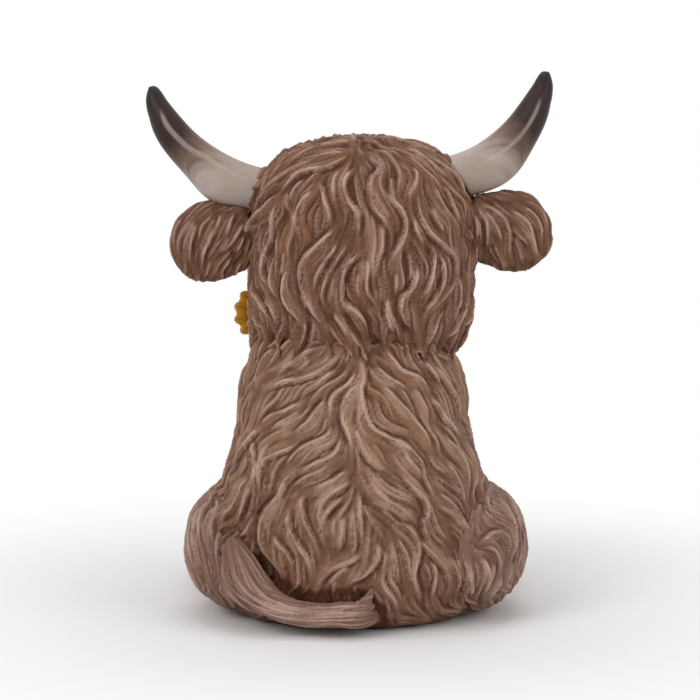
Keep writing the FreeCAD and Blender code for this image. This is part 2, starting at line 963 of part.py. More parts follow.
def make_plug():
    """The disc that closes the pour hole: a flange in the rebate and a stub in the hole."""
    body = doc.addObject("PartDesign::Body", "base_plug")
    flange = circle_sketch(body, "plug_flange_outline", "Sizes.plug_flange_diameter - 2 * Sizes.glue_gap")
    pad(body, "plug_flange", flange, "Sizes.plug_flange_thickness")
    stub = circle_sketch(body, "plug_stub_outline", "Sizes.plug_diameter - 2 * Sizes.glue_gap")
    pad(body, "plug_stub", stub, "Sizes.torso_wall")
    body.Placement.Base = plug_centre
    return body


def plug_tool(name, diameter, height):
    """One step of the pour hole, from below the base upwards."""
    below = plug_centre - UP * overrun
    return cylinder(name, below, UP, f"{diameter} / 2", f"{height} + {{torso_wall}} * {OVERRUN_SHARE}")


def make_cavity():
    """The hollow that slush casting leaves, closed below by the plug."""
    floor = base_height + size("torso_wall")
    return stacked_ovals(
        "torso_cavity",
        TORSO_SHARES,
        floor,
        size("torso_height") - 2 * size("torso_wall"),
        size("torso_width") / 2,
        size("torso_depth") / 2,
        inset=size("torso_wall"),
    )


plug = make_plug()
torso = cut(
    "torso_casting",
    fuse("torso_solid", torso_hair, make_neck_bar("neck_spigot", 0)),
    make_cavity(),
    plug_tool("pour_hole", "{plug_diameter}", f"{{torso_wall}} * (1 + {OVERRUN_SHARE})"),
    plug_tool("plug_rebate", "{plug_flange_diameter}", "{plug_flange_thickness}"),
    *foreleg_sockets,
    *hind_sockets,
)

felt = extruded_oval(
    "base_felt",
    size("torso_width") / 2 * TORSO_SHARES[0][1] - size("felt_margin"),
    size("torso_depth") / 2 * TORSO_SHARES[0][2] - size("felt_margin"),
    Vector(0, base_shift, 0),
    "{felt_thickness}",
)


def make_hoof(name, seat, rotation):
    """A cloven hoof: a tapered block with a cleft from its middle out through the toe."""
    body = doc.addObject("PartDesign::Body", name)
    outline = circle_sketch(body, f"{name}_outline", "Sizes.hoof_diameter")
    block = pad(body, f"{name}_block", outline, "Sizes.hoof_height")
    block.TaperAngle = HOOF_TAPER
    doc.recompute()
    cleft = body.newObject("Sketcher::SketchObject", f"{name}_cleft_outline")
    cleft.AttachmentSupport = (origin_plane(body, "XY_Plane"), [""])
    cleft.MapMode = "FlatFace"
    half = size("hoof_cleft_width") / 2
    reach = size("hoof_diameter")
    corners = [Vector(-half, reach, 0), Vector(0, 0, 0), Vector(half, reach, 0)]
    for start, end in zip(corners, corners[1:] + corners[:1]):
        cleft.addGeometry(Part.LineSegment(start, end), False)
    pocket = body.newObject("PartDesign::Pocket", f"{name}_cleft")
    pocket.Profile = cleft
    pocket.Midplane = True
    pocket.setExpression("Length", f"Sizes.hoof_height * {CLEFT_SHARE}")
    body.Placement = Placement(seat, rotation)
    return body


def fore_hoof(side):
    """A fore hoof, standing on the base plane under its leg."""
    turn = Rotation(UP, -SIDES[side] * FORE_HOOF_TURN)
    return make_hoof(f"{side}_fore_hoof", fore_hoof_seat(side), turn)


def hind_hoof(side):
    """A hind hoof, sole to the front, seated on the end of its foot."""
    heading = hind_heading(side)
    seat = hind_foot_points(side)[-1] + heading * size("hoof_height")
    return make_hoof(f"{side}_hind_hoof", seat, Rotation(Vector(), UP, -heading, "ZYX"))


hooves = [fore_hoof(side) for side in SIDES] + [hind_hoof(side) for side in SIDES]


def make_bloom():
    """The bloom's ray petals: a plate with a ring of rounded lobes."""
    body = doc.addObject("PartDesign::Body", "flower_petals")
    ring = "Sizes.bloom_diameter - Sizes.bloom_lobe_diameter"
    plate = circle_sketch(body, "petal_plate_outline", ring)
    pad(body, "petal_plate", plate, "Sizes.bloom_thickness")
    lobe_outline = circle_sketch(
        body, "petal_lobe_outline", "Sizes.bloom_lobe_diameter", f"({ring}) / 2"
    )
    lobe = pad(body, "petal_lobe", lobe_outline, "Sizes.bloom_thickness")
    doc.recompute()
    ring_of_lobes = body.newObject("PartDesign::PolarPattern", "petal_ring")
    ring_of_lobes.Originals = [lobe]
    ring_of_lobes.Axis = (lobe_outline, ["N_Axis"])
    ring_of_lobes.Angle = 360
    ring_of_lobes.Occurrences = PETAL_COUNT
    body.Tip = ring_of_lobes
    body.Placement = bloom_placement(0)
    return body


def bloom_placement(height):
    """The bloom's own frame, raised along its axis."""
    return Placement(bloom_point() + bloom_heading() * height, Rotation(UP, bloom_heading()))


def make_seed_disc():
    """The domed disc of seeds on the petals."""
    body = doc.addObject("PartDesign::Body", "flower_disc")
    outline = circle_sketch(body, "seed_disc_outline", "Sizes.seed_disc_diameter")
    block = pad(body, "seed_disc_block", outline, "Sizes.seed_disc_height")
    doc.recompute()
    top = max(
        range(len(block.Shape.Edges)),
        key=lambda index: block.Shape.Edges[index].BoundBox.Center.z,
    )
    dome = body.newObject("PartDesign::Fillet", "seed_disc_dome")
    dome.Base = (block, [f"Edge{top + 1}"])
    dome.setExpression("Radius", "Sizes.seed_disc_fillet")
    body.Tip = dome
    body.Placement = bloom_placement(size("bloom_thickness"))
    return body


petals = make_bloom()
seed_disc = make_seed_disc()
stem_final = cut("flower_stem", stem, petals)


def make_leaf():
    """One pointed leaf on the stem: the lens shape that two discs share."""
    half_length = size("leaf_length") / 2
    half_width = size("leaf_width") / 2
    radius = (half_length**2 + half_width**2) / (2 * half_width)
    root = stem_points()[2]
    rotation = Rotation(LEAF_HEADING, Vector(), LEAF_FACE, "XZY")
    discs = []
    for name, sign in (("leaf_upper", -1), ("leaf_lower", 1)):
        disc = doc.addObject("Part::Cylinder", name)
        disc.Radius = radius
        bind(disc, Height="{leaf_thickness}")
        place = Vector(half_length, sign * (radius - half_width), -size("leaf_thickness") / 2)
        disc.Placement = Placement(root, rotation).multiply(Placement(place, Rotation()))
        discs.append(disc)
    return cut("flower_leaf", common("leaf_form", *discs), stem_channel, muzzle_form)


leaf = make_leaf()

NODES = {
    "torso_casting": torso,
    "head_casting": head,
    "left_horn": horns[0],
    "right_horn": horns[1],
    "horn_dowels": horn_dowels,
    "left_ear": ears[0],
    "right_ear": ears[1],
    "forelock": forelock,
    "left_eye": eyes[0],
    "right_eye": eyes[1],
    "muzzle": muzzle,
    "left_foreleg": forelegs[0],
    "right_foreleg": forelegs[1],
    "left_hind_leg": hind_legs[0],
    "right_hind_leg": hind_legs[1],
    "left_fore_hoof": hooves[0],
    "right_fore_hoof": hooves[1],
    "left_hind_hoof": hooves[2],
    "right_hind_hoof": hooves[3],
    "tail": tail,
    "flower_petals": petals,
    "flower_disc": seed_disc,
    "flower_stem": stem_final,
    "flower_leaf": leaf,
    "base_plug": plug,
    "base_felt": felt,
}

for label, piece in NODES.items():
    piece.Label = label
doc.recompute()

for piece in doc.Objects:
    if "Invalid" in piece.State or "Error" in piece.State:
        raise RuntimeError(f"{piece.Name} failed: {piece.State}")

os.makedirs("parts", exist_ok=True)
for label, piece in NODES.items():
    shape = piece.Shape
    if shape.isNull() or not shape.isValid() or not shape.Solids:
        raise RuntimeError(f"{label} has no valid solid")
    shape.exportStep(f"parts/{label}.step")
    print(f"{label}: {len(shape.Solids)} solid(s), {shape.Volume:.1f} mm3")
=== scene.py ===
"""Looks of a seated long-haired cow figurine in hand-painted resin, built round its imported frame.

Metres in the scene and millimetres while a coat is carved. +Z is up, +Y is the way the cow
faces, and -X is the cow's own left.
"""

import itertools
import logging
import math
from dataclasses import dataclass, field
from enum import Enum
from typing import Callable, Mapping, NamedTuple, Optional, Sequence, Union

import bmesh
import bpy
import numpy as np
from mathutils import Matrix, Vector, noise
from mathutils.bvhtree import BVHTree
from mathutils.kdtree import KDTree


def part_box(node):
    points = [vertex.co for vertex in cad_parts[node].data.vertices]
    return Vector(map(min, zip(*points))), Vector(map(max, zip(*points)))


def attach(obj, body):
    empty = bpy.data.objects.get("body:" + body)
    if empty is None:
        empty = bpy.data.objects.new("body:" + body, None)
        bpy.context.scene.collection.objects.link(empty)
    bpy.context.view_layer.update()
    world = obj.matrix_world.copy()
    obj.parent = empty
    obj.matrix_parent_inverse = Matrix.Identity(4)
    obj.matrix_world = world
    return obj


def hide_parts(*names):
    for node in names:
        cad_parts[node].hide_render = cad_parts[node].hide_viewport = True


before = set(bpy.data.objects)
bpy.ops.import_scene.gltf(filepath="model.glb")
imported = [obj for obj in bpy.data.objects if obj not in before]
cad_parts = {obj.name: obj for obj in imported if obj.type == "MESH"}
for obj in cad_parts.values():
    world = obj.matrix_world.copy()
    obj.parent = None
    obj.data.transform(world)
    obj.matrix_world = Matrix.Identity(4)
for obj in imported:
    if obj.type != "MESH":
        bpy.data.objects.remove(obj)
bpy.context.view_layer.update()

Pixel = Sequence[float]
Trace = tuple[Union[float, Pixel], ...]
Colour = tuple[float, float, float]
Cell = tuple[int, ...]
Bump = tuple[float, float]
Piece = bpy.types.Object
Socket = bpy.types.NodeSocket
Inputs = Mapping[Union[str, int], object]
Flow = Callable[[Vector], Vector]

LOG = logging.getLogger("cow_figurine")
MM = 0.001
MERGE_GAP = 0.01 * MM
TINY = 1e-6

# The mix node's colour inputs and output, by their numbers.
MIX_FIRST, MIX_SECOND, MIX_RESULT = 6, 7, 2

# What turns a cell of space into a steady random number.
HASH_PRIMES = (73856093, 19349663, 83492791)
HASH_SEED = 2654435
HASH_MIX = 1274126177
HASH_MASK = 0xFFFF
NEAR_CELLS = tuple(itertools.product((-1, 0, 1), repeat=3))

# How locks taper, lean and lie, and the height above the table where carved hair starts.
LOCK_TAPER = 1.5
LEAN_SCALE = 16.0
MOST_BREADTH = 1.1
LEAST_WAY = 0.01
BASE_LEVEL = 1.6

# Places that the flow of the hair turns on, in millimetres.
SHOULDER_HEIGHT = 75.0
PARTING = 1.5
PARTING_WIDTH = 5.0
CHEST_FRONT = 5.0
CROWN_MIDDLE = Vector((1.0, -8.0, 0.0))
THIGH_FRONT = 2.0
FOOT_REACH = 22.0
TAIL_BEND = -20.0
TAIL_RISE = 14.0
BROW_REACH = 20.0


class Side(Enum):
    """The cow's own left and right, with the sign of their X."""

    LEFT = -1
    RIGHT = 1

    @property
    def word(self) -> str:
        """The word that starts the names of this side's pieces."""
        return self.name.lower()


# Ridges of hair traced on the photograph, each from its root to its tip, in its
# pixels. The first number of each is its strength.
CROWN_RIDGES = (
    (0.9, (352, 141), (335, 143), (318, 145), (302, 150)),
    (0.7, (347, 152), (335, 152), (320, 155), (312, 158)),
    (1.2, (350, 150), (337, 162), (320, 168), (300, 172), (285, 185), (272, 200)),
    (0.9, (341, 167), (334, 178), (333, 190), (336, 203), (341, 213)),
    (1.0, (318, 178), (322, 190), (325, 202), (329, 212), (330, 222), (326, 230)),
    (1.3, (355, 165), (345, 180), (345, 192), (350, 203), (357, 212), (359, 220), (357, 232),
     (352, 245)),
    (0.9, (318, 188), (304, 198), (297, 210), (295, 220), (297, 235), (299, 249)),
    (1.3, (336, 218), (333, 230), (325, 238), (315, 247), (307, 254), (301, 262), (299, 272),
     (300, 283), (305, 296), (312, 310), (319, 321), (324, 332), (326, 342)),
    (0.7, (288, 190), (286, 203), (289, 215)),
    (0.7, (305, 178), (296, 186), (291, 195), (289, 206)),
    (1.1, (281, 190), (270, 200), (260, 210), (252, 220), (246, 235), (245, 250)),
    (0.9, (265, 205), (254, 217), (247, 228), (249, 245), (250, 262), (250, 275)),
    (1.2, (278, 195), (274, 205), (272, 220), (272, 235), (266, 250), (263, 260), (262, 270),
     (263, 278), (267, 286), (271, 292), (278, 303)),
    (0.7, (268, 173), (263, 183), (260, 195)),
    (0.8, (373, 137), (400, 140), (425, 148), (445, 158), (458, 168)),
    (0.8, (395, 147), (412, 150), (425, 158), (440, 170), (452, 180), (462, 192), (470, 205)),
    (1.2, (362, 155), (373, 160), (380, 168), (371, 180), (370, 193), (372, 203), (377, 212),
     (384, 220), (390, 232), (392, 245)),
    (1.2, (384, 185), (389, 195), (396, 203), (402, 211), (406, 220), (406, 230), (402, 240),
     (394, 255), (391, 263), (390, 272), (390, 283)),
    (0.9, (392, 175), (391, 185), (393, 195), (398, 205)),
    (0.9, (410, 165), (417, 172), (415, 185), (411, 192), (409, 200), (409, 208)),
    (1.1, (420, 180), (418, 190), (419, 205), (422, 218), (427, 228), (435, 237), (445, 246),
     (453, 255), (455, 265), (455, 278), (452, 288), (447, 295), (441, 302), (434, 309), (428, 317),
     (424, 325), (422, 335)),
    (0.8, (430, 180), (437, 190), (442, 200), (448, 210), (455, 220), (460, 232), (459, 245)),
    (0.9, (431, 205), (435, 215), (441, 226), (447, 236)),
    (0.9, (414, 215), (416, 228), (421, 238), (427, 250)),
    (0.8, (441, 183), (448, 193), (452, 203), (457, 215), (462, 230)),
    (0.9, (381, 220), (383, 235), (382, 250), (379, 258), (377, 265), (376, 275), (376, 285)),
    (0.8, (355, 134), (354, 145), (357, 160)),
    (0.7, (365, 140), (380, 146), (400, 156), (412, 165)),
    (0.7, (330, 140), (310, 148), (290, 160), (276, 172)),
)

NAPE_RIDGES = (
    (0.8, (275, 250), (273, 260), (271, 270), (270, 280), (271, 287), (274, 294), (282, 304)),
    (0.7, (283, 250), (283, 260), (282, 268), (280, 280)),
    (1.0, (250, 275), (252, 287), (255, 296), (259, 303), (264, 310), (268, 318), (273, 327)),
    (0.9, (262, 298), (268, 305), (272, 312), (275, 320), (274, 330)),
    (0.9, (244, 295), (248, 308), (253, 319), (259, 326), (268, 338)),
    (1.3, (291, 268), (285, 276), (283, 290), (284, 300), (288, 308), (294, 315), (298, 323),
     (298, 336)),
    (1.0, (340, 238), (334, 250), (328, 258), (322, 266), (318, 273), (315, 280), (313, 290),
     (313, 302)),
    (1.0, (352, 240), (341, 254), (331, 270), (326, 280), (323, 288), (321, 297), (323, 305),
     (329, 316)),
    (1.4, (366, 250), (358, 255), (350, 262), (345, 270), (342, 280), (341, 290), (342, 300),
     (346, 305), (354, 310), (360, 316), (366, 326), (368, 337), (366, 346)),
    (0.9, (334, 312), (337, 320), (342, 326), (346, 333), (350, 342)),
    (0.8, (304, 318), (305, 330), (303, 338), (299, 346), (292, 356)),
    (1.4, (418, 262), (417, 275), (414, 285), (409, 292), (403, 297), (401, 303), (401, 312),
     (404, 320), (408, 328), (413, 337)),
    (0.8, (409, 248), (410, 260), (411, 268), (411, 278), (407, 288)),
    (1.1, (428, 240), (434, 250), (435, 258), (434, 265), (432, 275), (430, 283), (428, 290),
     (422, 296), (416, 303)),
    (1.1, (436, 248), (441, 257), (444, 265), (445, 275), (443, 285), (439, 293), (435, 300),
     (429, 308), (423, 318), (421, 328)),
    (0.9, (458, 272), (460, 285), (461, 295), (460, 305), (457, 313), (455, 322), (450, 331)),
    (0.9, (468, 285), (468, 302), (466, 310), (461, 320), (457, 328), (451, 335), (444, 339),
     (440, 346)),
    (0.8, (474, 290), (473, 308), (469, 322), (461, 336), (455, 345)),
    (1.0, (387, 296), (387, 310), (389, 320), (392, 330), (396, 338)),
    (1.1, (368, 256), (367, 272), (366, 285), (368, 295), (373, 302), (379, 311)),
    (0.8, (359, 272), (358, 283), (358, 292), (361, 302)),
    (1.1, (446, 308), (440, 316), (437, 325), (433, 335), (429, 343), (425, 352)),
    (0.6, (299, 292), (304, 302), (308, 312)),
    (0.6, (396, 272), (396, 285), (395, 296)),
    (0.6, (447, 252), (450, 266), (449, 280), (444, 292)),
)

BACK_RIDGES = (
    (1.0, (318, 346), (309, 350), (300, 356), (290, 363), (281, 371), (270, 379)),
    (1.4, (345, 346), (340, 353), (332, 362), (325, 368), (315, 374), (305, 378), (297, 380),
     (285, 381), (275, 385), (265, 389), (257, 395)),
    (0.9, (276, 346), (268, 352), (262, 360), (257, 372), (255, 382), (256, 394)),
    (1.0, (338, 370), (330, 374), (322, 380), (314, 386), (307, 390), (301, 395), (298, 402)),
    (1.3, (358, 368), (350, 382), (343, 388), (336, 393), (331, 400), (330, 412), (332, 424)),
    (1.1, (325, 393), (323, 402), (318, 408), (313, 415), (308, 422), (300, 428), (293, 434),
     (286, 440)),
    (1.0, (303, 400), (290, 408), (282, 412), (272, 415), (266, 419), (260, 424), (256, 431)),
    (0.9, (302, 408), (295, 414), (287, 419), (277, 424), (267, 431)),
    (1.3, (361, 377), (357, 385), (350, 392), (345, 400), (343, 410), (343, 421), (347, 430),
     (350, 440), (352, 452), (353, 465)),
    (1.4, (333, 425), (328, 435), (320, 440), (312, 443), (304, 447), (296, 453), (288, 461),
     (281, 470)),
    (1.0, (341, 435), (338, 448), (333, 455), (325, 460), (316, 463), (306, 468), (294, 474),
     (286, 483)),
    (1.0, (302, 440), (290, 448), (280, 452), (270, 457), (263, 462), (258, 470), (258, 485),
     (260, 495), (263, 506)),
    (1.0, (273, 440), (265, 448), (261, 458), (258, 466), (254, 478), (254, 492), (251, 507),
     (246, 519), (243, 529)),
    (0.9, (253, 438), (252, 450), (253, 460), (252, 472)),
    (1.2, (262, 425), (255, 432), (248, 440), (241, 449), (235, 459), (229, 470)),
    (0.8, (246, 392), (241, 404), (238, 416), (240, 428)),
    (1.4, (363, 348), (363, 365), (364, 377), (361, 390), (363, 405), (366, 415), (370, 424),
     (375, 430), (384, 435), (394, 440), (404, 443), (413, 449), (424, 457), (430, 464)),
    (1.3, (383, 346), (389, 354), (396, 363), (402, 370), (410, 374), (418, 377), (425, 383),
     (430, 390), (433, 398)),
    (0.9, (372, 364), (380, 370), (388, 377), (396, 382), (404, 386), (410, 391)),
    (1.4, (378, 384), (387, 390), (396, 400), (403, 407), (410, 414), (416, 422), (421, 428),
     (427, 436), (431, 446), (433, 457)),
    (0.9, (413, 387), (420, 396), (424, 404), (428, 413), (430, 425)),
    (0.8, (424, 360), (431, 368), (437, 376), (443, 385)),
    (1.2, (432, 364), (440, 372), (447, 382), (452, 390), (457, 398), (460, 408), (461, 418),
     (464, 430)),
    (1.2, (430, 395), (436, 403), (441, 410), (445, 418), (450, 424), (457, 431), (464, 439)),
    (0.9, (390, 442), (398, 444), (408, 448), (416, 455), (422, 462), (426, 472), (428, 482)),
    (1.0, (442, 428), (450, 441), (458, 450), (464, 459), (468, 470), (469, 485), (469, 500),
     (468, 512)),
    (1.3, (355, 425), (359, 440), (362, 448), (366, 455), (372, 462), (380, 468), (390, 472)),
    (0.9, (462, 438), (470, 449), (475, 460), (477, 472), (475, 485), (474, 500), (471, 512)),
    (0.8, (452, 352), (459, 365), (464, 380), (465, 395), (468, 410)),
    (0.7, (310, 358), (303, 366), (292, 372)),
    (0.7, (350, 346), (349, 356), (344, 366)),
)

RUMP_RIDGES = (
    (1.2, (248, 474), (243, 485), (238, 497), (232, 507), (226, 513), (220, 520), (217, 528)),
    (0.9, (252, 484), (246, 497), (242, 508), (238, 518), (234, 527)),
    (1.5, (276, 484), (278, 494), (274, 501), (267, 511), (262, 520), (260, 530), (260, 541),
     (263, 550), (268, 558), (274, 566), (279, 573), (281, 582), (281, 592)),
    (1.3, (302, 469), (291, 477), (284, 485), (280, 495), (279, 506)),
    (0.9, (271, 533), (277, 543), (285, 552), (290, 560), (292, 570), (291, 582)),
    (1.3, (289, 506), (288, 519), (290, 531), (295, 541), (301, 550), (306, 557), (309, 566),
     (311, 580)),
    (1.2, (305, 492), (301, 501), (302, 511), (304, 520), (308, 530), (313, 540), (317, 550),
     (320, 562)),
    (1.4, (352, 478), (342, 488), (331, 494), (323, 503), (319, 512), (317, 521), (320, 532)),
    (1.1, (345, 496), (337, 503), (329, 510), (323, 518), (321, 528), (323, 538), (329, 549)),
    (0.9, (344, 515), (343, 526), (342, 536), (340, 546), (337, 556)),
    (0.7, (334, 516), (333, 528), (335, 540)),
    (1.5, (378, 540), (379, 552), (376, 562), (370, 570), (362, 577), (352, 582), (343, 588)),
    (1.2, (362, 553), (354, 560), (343, 564), (334, 568), (327, 573), (321, 580), (314, 590)),
    (0.8, (350, 566), (340, 572), (332, 580), (326, 590)),
    (1.1, (348, 469), (338, 477), (328, 483), (318, 487), (306, 489)),
    (0.9, (332, 464), (320, 471), (309, 476), (299, 481), (290, 490)),
    (1.0, (361, 490), (360, 503), (360, 515), (361, 528), (362, 540), (361, 551)),
    (0.9, (353, 505), (354, 520), (355, 535), (355, 546), (351, 556), (344, 561)),
    (1.2, (384, 545), (385, 558), (384, 570), (382, 579), (385, 588), (391, 596), (397, 604),
     (402, 613)),
    (1.0, (391, 540), (394, 552), (397, 565), (398, 576), (402, 588)),
    (1.0, (396, 535), (402, 546), (407, 556), (409, 566), (410, 576), (413, 590)),
    (1.4, (368, 476), (375, 488), (383, 497), (391, 503), (400, 508), (408, 514), (414, 521),
     (419, 530)),
    (1.4, (400, 470), (408, 482), (415, 490), (422, 497), (427, 505), (427, 514), (424, 523),
     (426, 533), (431, 541), (437, 547)),
    (1.3, (396, 520), (406, 526), (413, 532), (418, 541), (419, 552), (417, 563), (414, 573),
     (415, 583), (419, 594), (421, 606)),
    (1.1, (432, 500), (432, 512), (436, 523), (440, 531), (446, 538), (454, 544)),
    (1.5, (436, 490), (446, 499), (453, 507), (460, 516), (465, 525), (467, 536), (466, 548)),
    (1.1, (447, 462), (455, 473), (460, 484), (464, 495), (467, 508)),
    (0.8, (425, 462), (425, 476), (430, 488), (437, 500)),
    (0.8, (485, 466), (482, 482), (484, 495)),
    (1.4, (418, 536), (426, 547), (432, 553), (438, 560), (444, 568), (448, 578), (449, 590),
     (446, 603)),
    (0.9, (448, 556), (456, 566), (460, 576), (459, 588), (455, 600)),
    (1.0, (470, 548), (469, 561), (472, 575), (472, 588), (466, 601)),
    (1.0, (480, 556), (487, 566), (489, 576), (487, 588), (482, 599)),
    (0.9, (430, 560), (435, 568), (436, 578), (434, 590), (430, 603)),
    (0.8, (372, 588), (378, 598), (384, 610)),
    (0.8, (362, 500), (367, 512), (375, 521), (386, 528)),
    (0.8, (378, 508), (388, 514), (398, 523), (409, 530)),
    (0.8, (403, 450), (411, 462), (420, 472), (426, 484)),
    (0.6, (370, 500), (380, 506), (392, 512)),
)

LEFT_FLANK_RIDGES = (
    (1.1, (222, 497), (212, 500), (204, 508), (200, 520), (199, 534), (201, 549), (204, 563),
     (208, 577), (214, 590)),
    (1.1, (228, 500), (218, 505), (210, 513), (205, 523), (203, 535), (205, 546), (208, 556),
     (213, 568)),
    (0.9, (208, 500), (198, 511), (194, 525), (193, 540), (195, 556), (199, 571), (205, 585)),
    (0.8, (220, 512), (213, 522), (211, 534), (214, 547)),
    (0.8, (198, 508), (190, 524), (189, 542), (191, 560), (196, 576)),
)

RIGHT_FLANK_RIDGES = (
    (1.1, (480, 545), (490, 535), (500, 532), (508, 537), (510, 547), (508, 558), (504, 569)),
    (1.1, (492, 492), (501, 500), (508, 510), (513, 520), (516, 531), (516, 544), (513, 557),
     (508, 572)),
    (0.9, (480, 492), (479, 507), (482, 520), (490, 527)),
    (0.9, (505, 575), (499, 585), (491, 596), (482, 606)),
    (0.9, (503, 490), (512, 502), (518, 516), (521, 532), (520, 548)),
    (0.8, (495, 560), (494, 573), (489, 586), (480, 597)),
)

TAIL_RIDGES = (
    (1.0, (374, 605), (355, 606), (335, 607), (312, 608), (292, 607), (272, 600), (258, 590),
     (249, 576), (244, 562), (240, 549)),
    (1.0, (374, 611), (355, 613), (335, 613), (310, 614), (285, 612), (262, 603), (246, 592),
     (237, 579), (233, 565), (230, 550), (228, 540)),
    (1.0, (374, 618), (355, 620), (335, 621), (308, 621), (282, 618), (256, 607), (240, 597),
     (229, 586), (224, 573), (224, 560), (226, 546)),
    (0.7, (374, 608), (340, 610), (305, 611), (276, 606), (252, 596), (241, 580), (237, 565),
     (234, 550)),
    (0.7, (374, 615), (340, 617), (305, 618), (272, 611), (246, 599), (232, 583), (228, 567),
     (227, 552)),
    (0.7, (374, 624), (340, 626), (305, 626), (275, 619)),
)

LEFT_EAR_RIDGES = (
    (1.3, (246, 221), (241, 229), (236, 237), (230, 245), (223, 251), (217, 258)),
    (0.9, (236, 213), (232, 219), (229, 229), (225, 240)),
    (0.9, (221, 214), (218, 224), (214, 232)),
    (1.1, (213, 215), (207, 221), (202, 226), (200, 233), (198, 243)),
    (1.2, (219, 228), (212, 236), (209, 243), (205, 250), (203, 260), (204, 272)),
    (1.0, (198, 220), (194, 231), (191, 241), (190, 250), (190, 260), (194, 270)),
    (1.1, (192, 217), (187, 226), (183, 232), (179, 240), (178, 250), (181, 262)),
    (0.9, (232, 258), (226, 266), (222, 273), (222, 281)),
    (0.8, (241, 262), (237, 271), (235, 281)),
    (0.8, (211, 260), (208, 271), (205, 279)),
    (0.8, (245, 235), (240, 247), (234, 256)),
    (0.7, (184, 216), (176, 227), (173, 241), (175, 255)),
)

RIGHT_EAR_RIDGES = (
    (1.5, (478, 202), (487, 206), (494, 210), (501, 215), (506, 221), (509, 229), (510, 240),
     (509, 251), (512, 265)),
    (1.1, (475, 206), (481, 214), (486, 222), (487, 231), (487, 242), (484, 254)),
    (1.0, (482, 209), (489, 216), (495, 224), (499, 232), (501, 240), (502, 250)),
    (1.3, (508, 207), (516, 213), (523, 218), (529, 224), (532, 232), (534, 241), (537, 252),
     (543, 260)),
    (0.9, (520, 205), (530, 210), (537, 217), (541, 225), (542, 236), (542, 249)),
    (0.9, (522, 200), (534, 204), (543, 212), (547, 222), (548, 236)),
    (1.1, (494, 242), (498, 254), (502, 263), (505, 273)),
    (0.9, (514, 236), (518, 246), (521, 256), (522, 266)),
    (0.8, (474, 214), (477, 227), (476, 241)),
    (0.7, (510, 225), (517, 234), (526, 243), (530, 254)),
)

# Free locks traced in the same way; the first number of each is the radius of its root in
# millimetres.
HEAD_LOCKS = (
    (2.4, (258, 308), (263, 324), (267, 338), (266, 354)),
    (2.6, (271, 310), (277, 326), (282, 341), (280, 360)),
    (2.6, (287, 310), (294, 327), (299, 341), (293, 362)),
    (2.6, (304, 310), (307, 327), (305, 342), (296, 358)),
    (2.4, (318, 310), (323, 327), (328, 342), (332, 358)),
    (2.6, (332, 310), (339, 327), (348, 341), (354, 358)),
    (3.0, (352, 306), (363, 322), (369, 338), (365, 360)),
    (2.6, (377, 310), (384, 326), (386, 341), (380, 358)),
    (2.6, (390, 310), (396, 327), (401, 341), (405, 358)),
    (2.6, (404, 308), (409, 326), (415, 342), (424, 360)),
    (2.6, (426, 310), (422, 326), (424, 342), (433, 358)),
    (2.6, (440, 310), (434, 327), (428, 343), (422, 360)),
    (2.4, (453, 310), (448, 327), (441, 342), (437, 356)),
    (2.2, (463, 310), (459, 326), (452, 341), (446, 353)),
)

# Locks over the roots of the ears, and the tufts of the crown.
ROOT_LOCKS = (
    (2.0, (262, 200), (254, 216), (249, 236), (248, 256), (250, 276)),
    (2.0, (464, 196), (471, 213), (475, 232), (476, 252), (474, 272)),
    (3.4, (358, 148), (342, 142), (324, 143), (306, 150), (290, 162)),
    (2.6, (356, 156), (338, 154), (321, 158), (306, 167), (294, 178)),
    (3.4, (364, 148), (382, 142), (401, 145), (418, 153), (434, 166)),
    (2.6, (366, 158), (385, 154), (402, 158), (417, 167), (428, 178)),
    (2.7, (362, 142), (356, 135), (350, 134), (344, 140)),
    (2.2, (290, 152), (276, 158), (264, 166), (256, 176)),
    (2.2, (436, 150), (448, 157), (458, 166), (466, 177)),
)

LEFT_EAR_TIPS = (
    (1.9, (190, 240), (187, 256), (187, 268), (192, 276)),
    (1.9, (203, 248), (202, 262), (204, 273), (209, 281)),
    (1.9, (217, 250), (217, 265), (219, 276), (224, 284)),
    (1.9, (230, 250), (232, 266), (234, 277), (238, 285)),
    (1.7, (240, 248), (243, 262), (245, 272), (248, 280)),
    (2.8, (248, 214), (238, 210), (226, 209), (212, 212)),
    (3.6, (255, 214), (251, 230), (247, 247), (245, 263), (246, 278)),
)

RIGHT_EAR_TIPS = (
    (1.9, (488, 242), (485, 256), (483, 268), (479, 276)),
    (1.9, (500, 246), (501, 260), (502, 271), (500, 280)),
    (1.9, (514, 244), (517, 258), (518, 268), (516, 276)),
    (1.9, (527, 238), (532, 250), (535, 260), (535, 268)),
    (1.7, (539, 228), (545, 240), (548, 250), (548, 258)),
    (2.8, (476, 200), (488, 198), (500, 198), (514, 202)),
    (3.6, (470, 206), (474, 222), (477, 238), (479, 253), (477, 266)),
)

# The tail: column and row, radius in millimetres, and how far its middle stands off, in
# radii.
TAIL_PATH = (
    (380, 615, 2.6, -2.4), (372, 615, 3.2, -1.6), (366, 615, 3.8, -0.6), (359, 615, 4.1, 0.3),
    (350, 615, 4.1, 0.8), (338, 615, 3.9, 0.9), (322, 616, 3.7, 0.95), (298, 614, 3.8, 1.0),
    (276, 606, 4.3, 0.95), (259, 592, 4.7, 0.9), (249, 577, 4.7, 0.85), (242, 562, 4.3, 0.8),
    (236, 549, 3.2, 0.7), (231, 539, 1.5, 0.6),
)

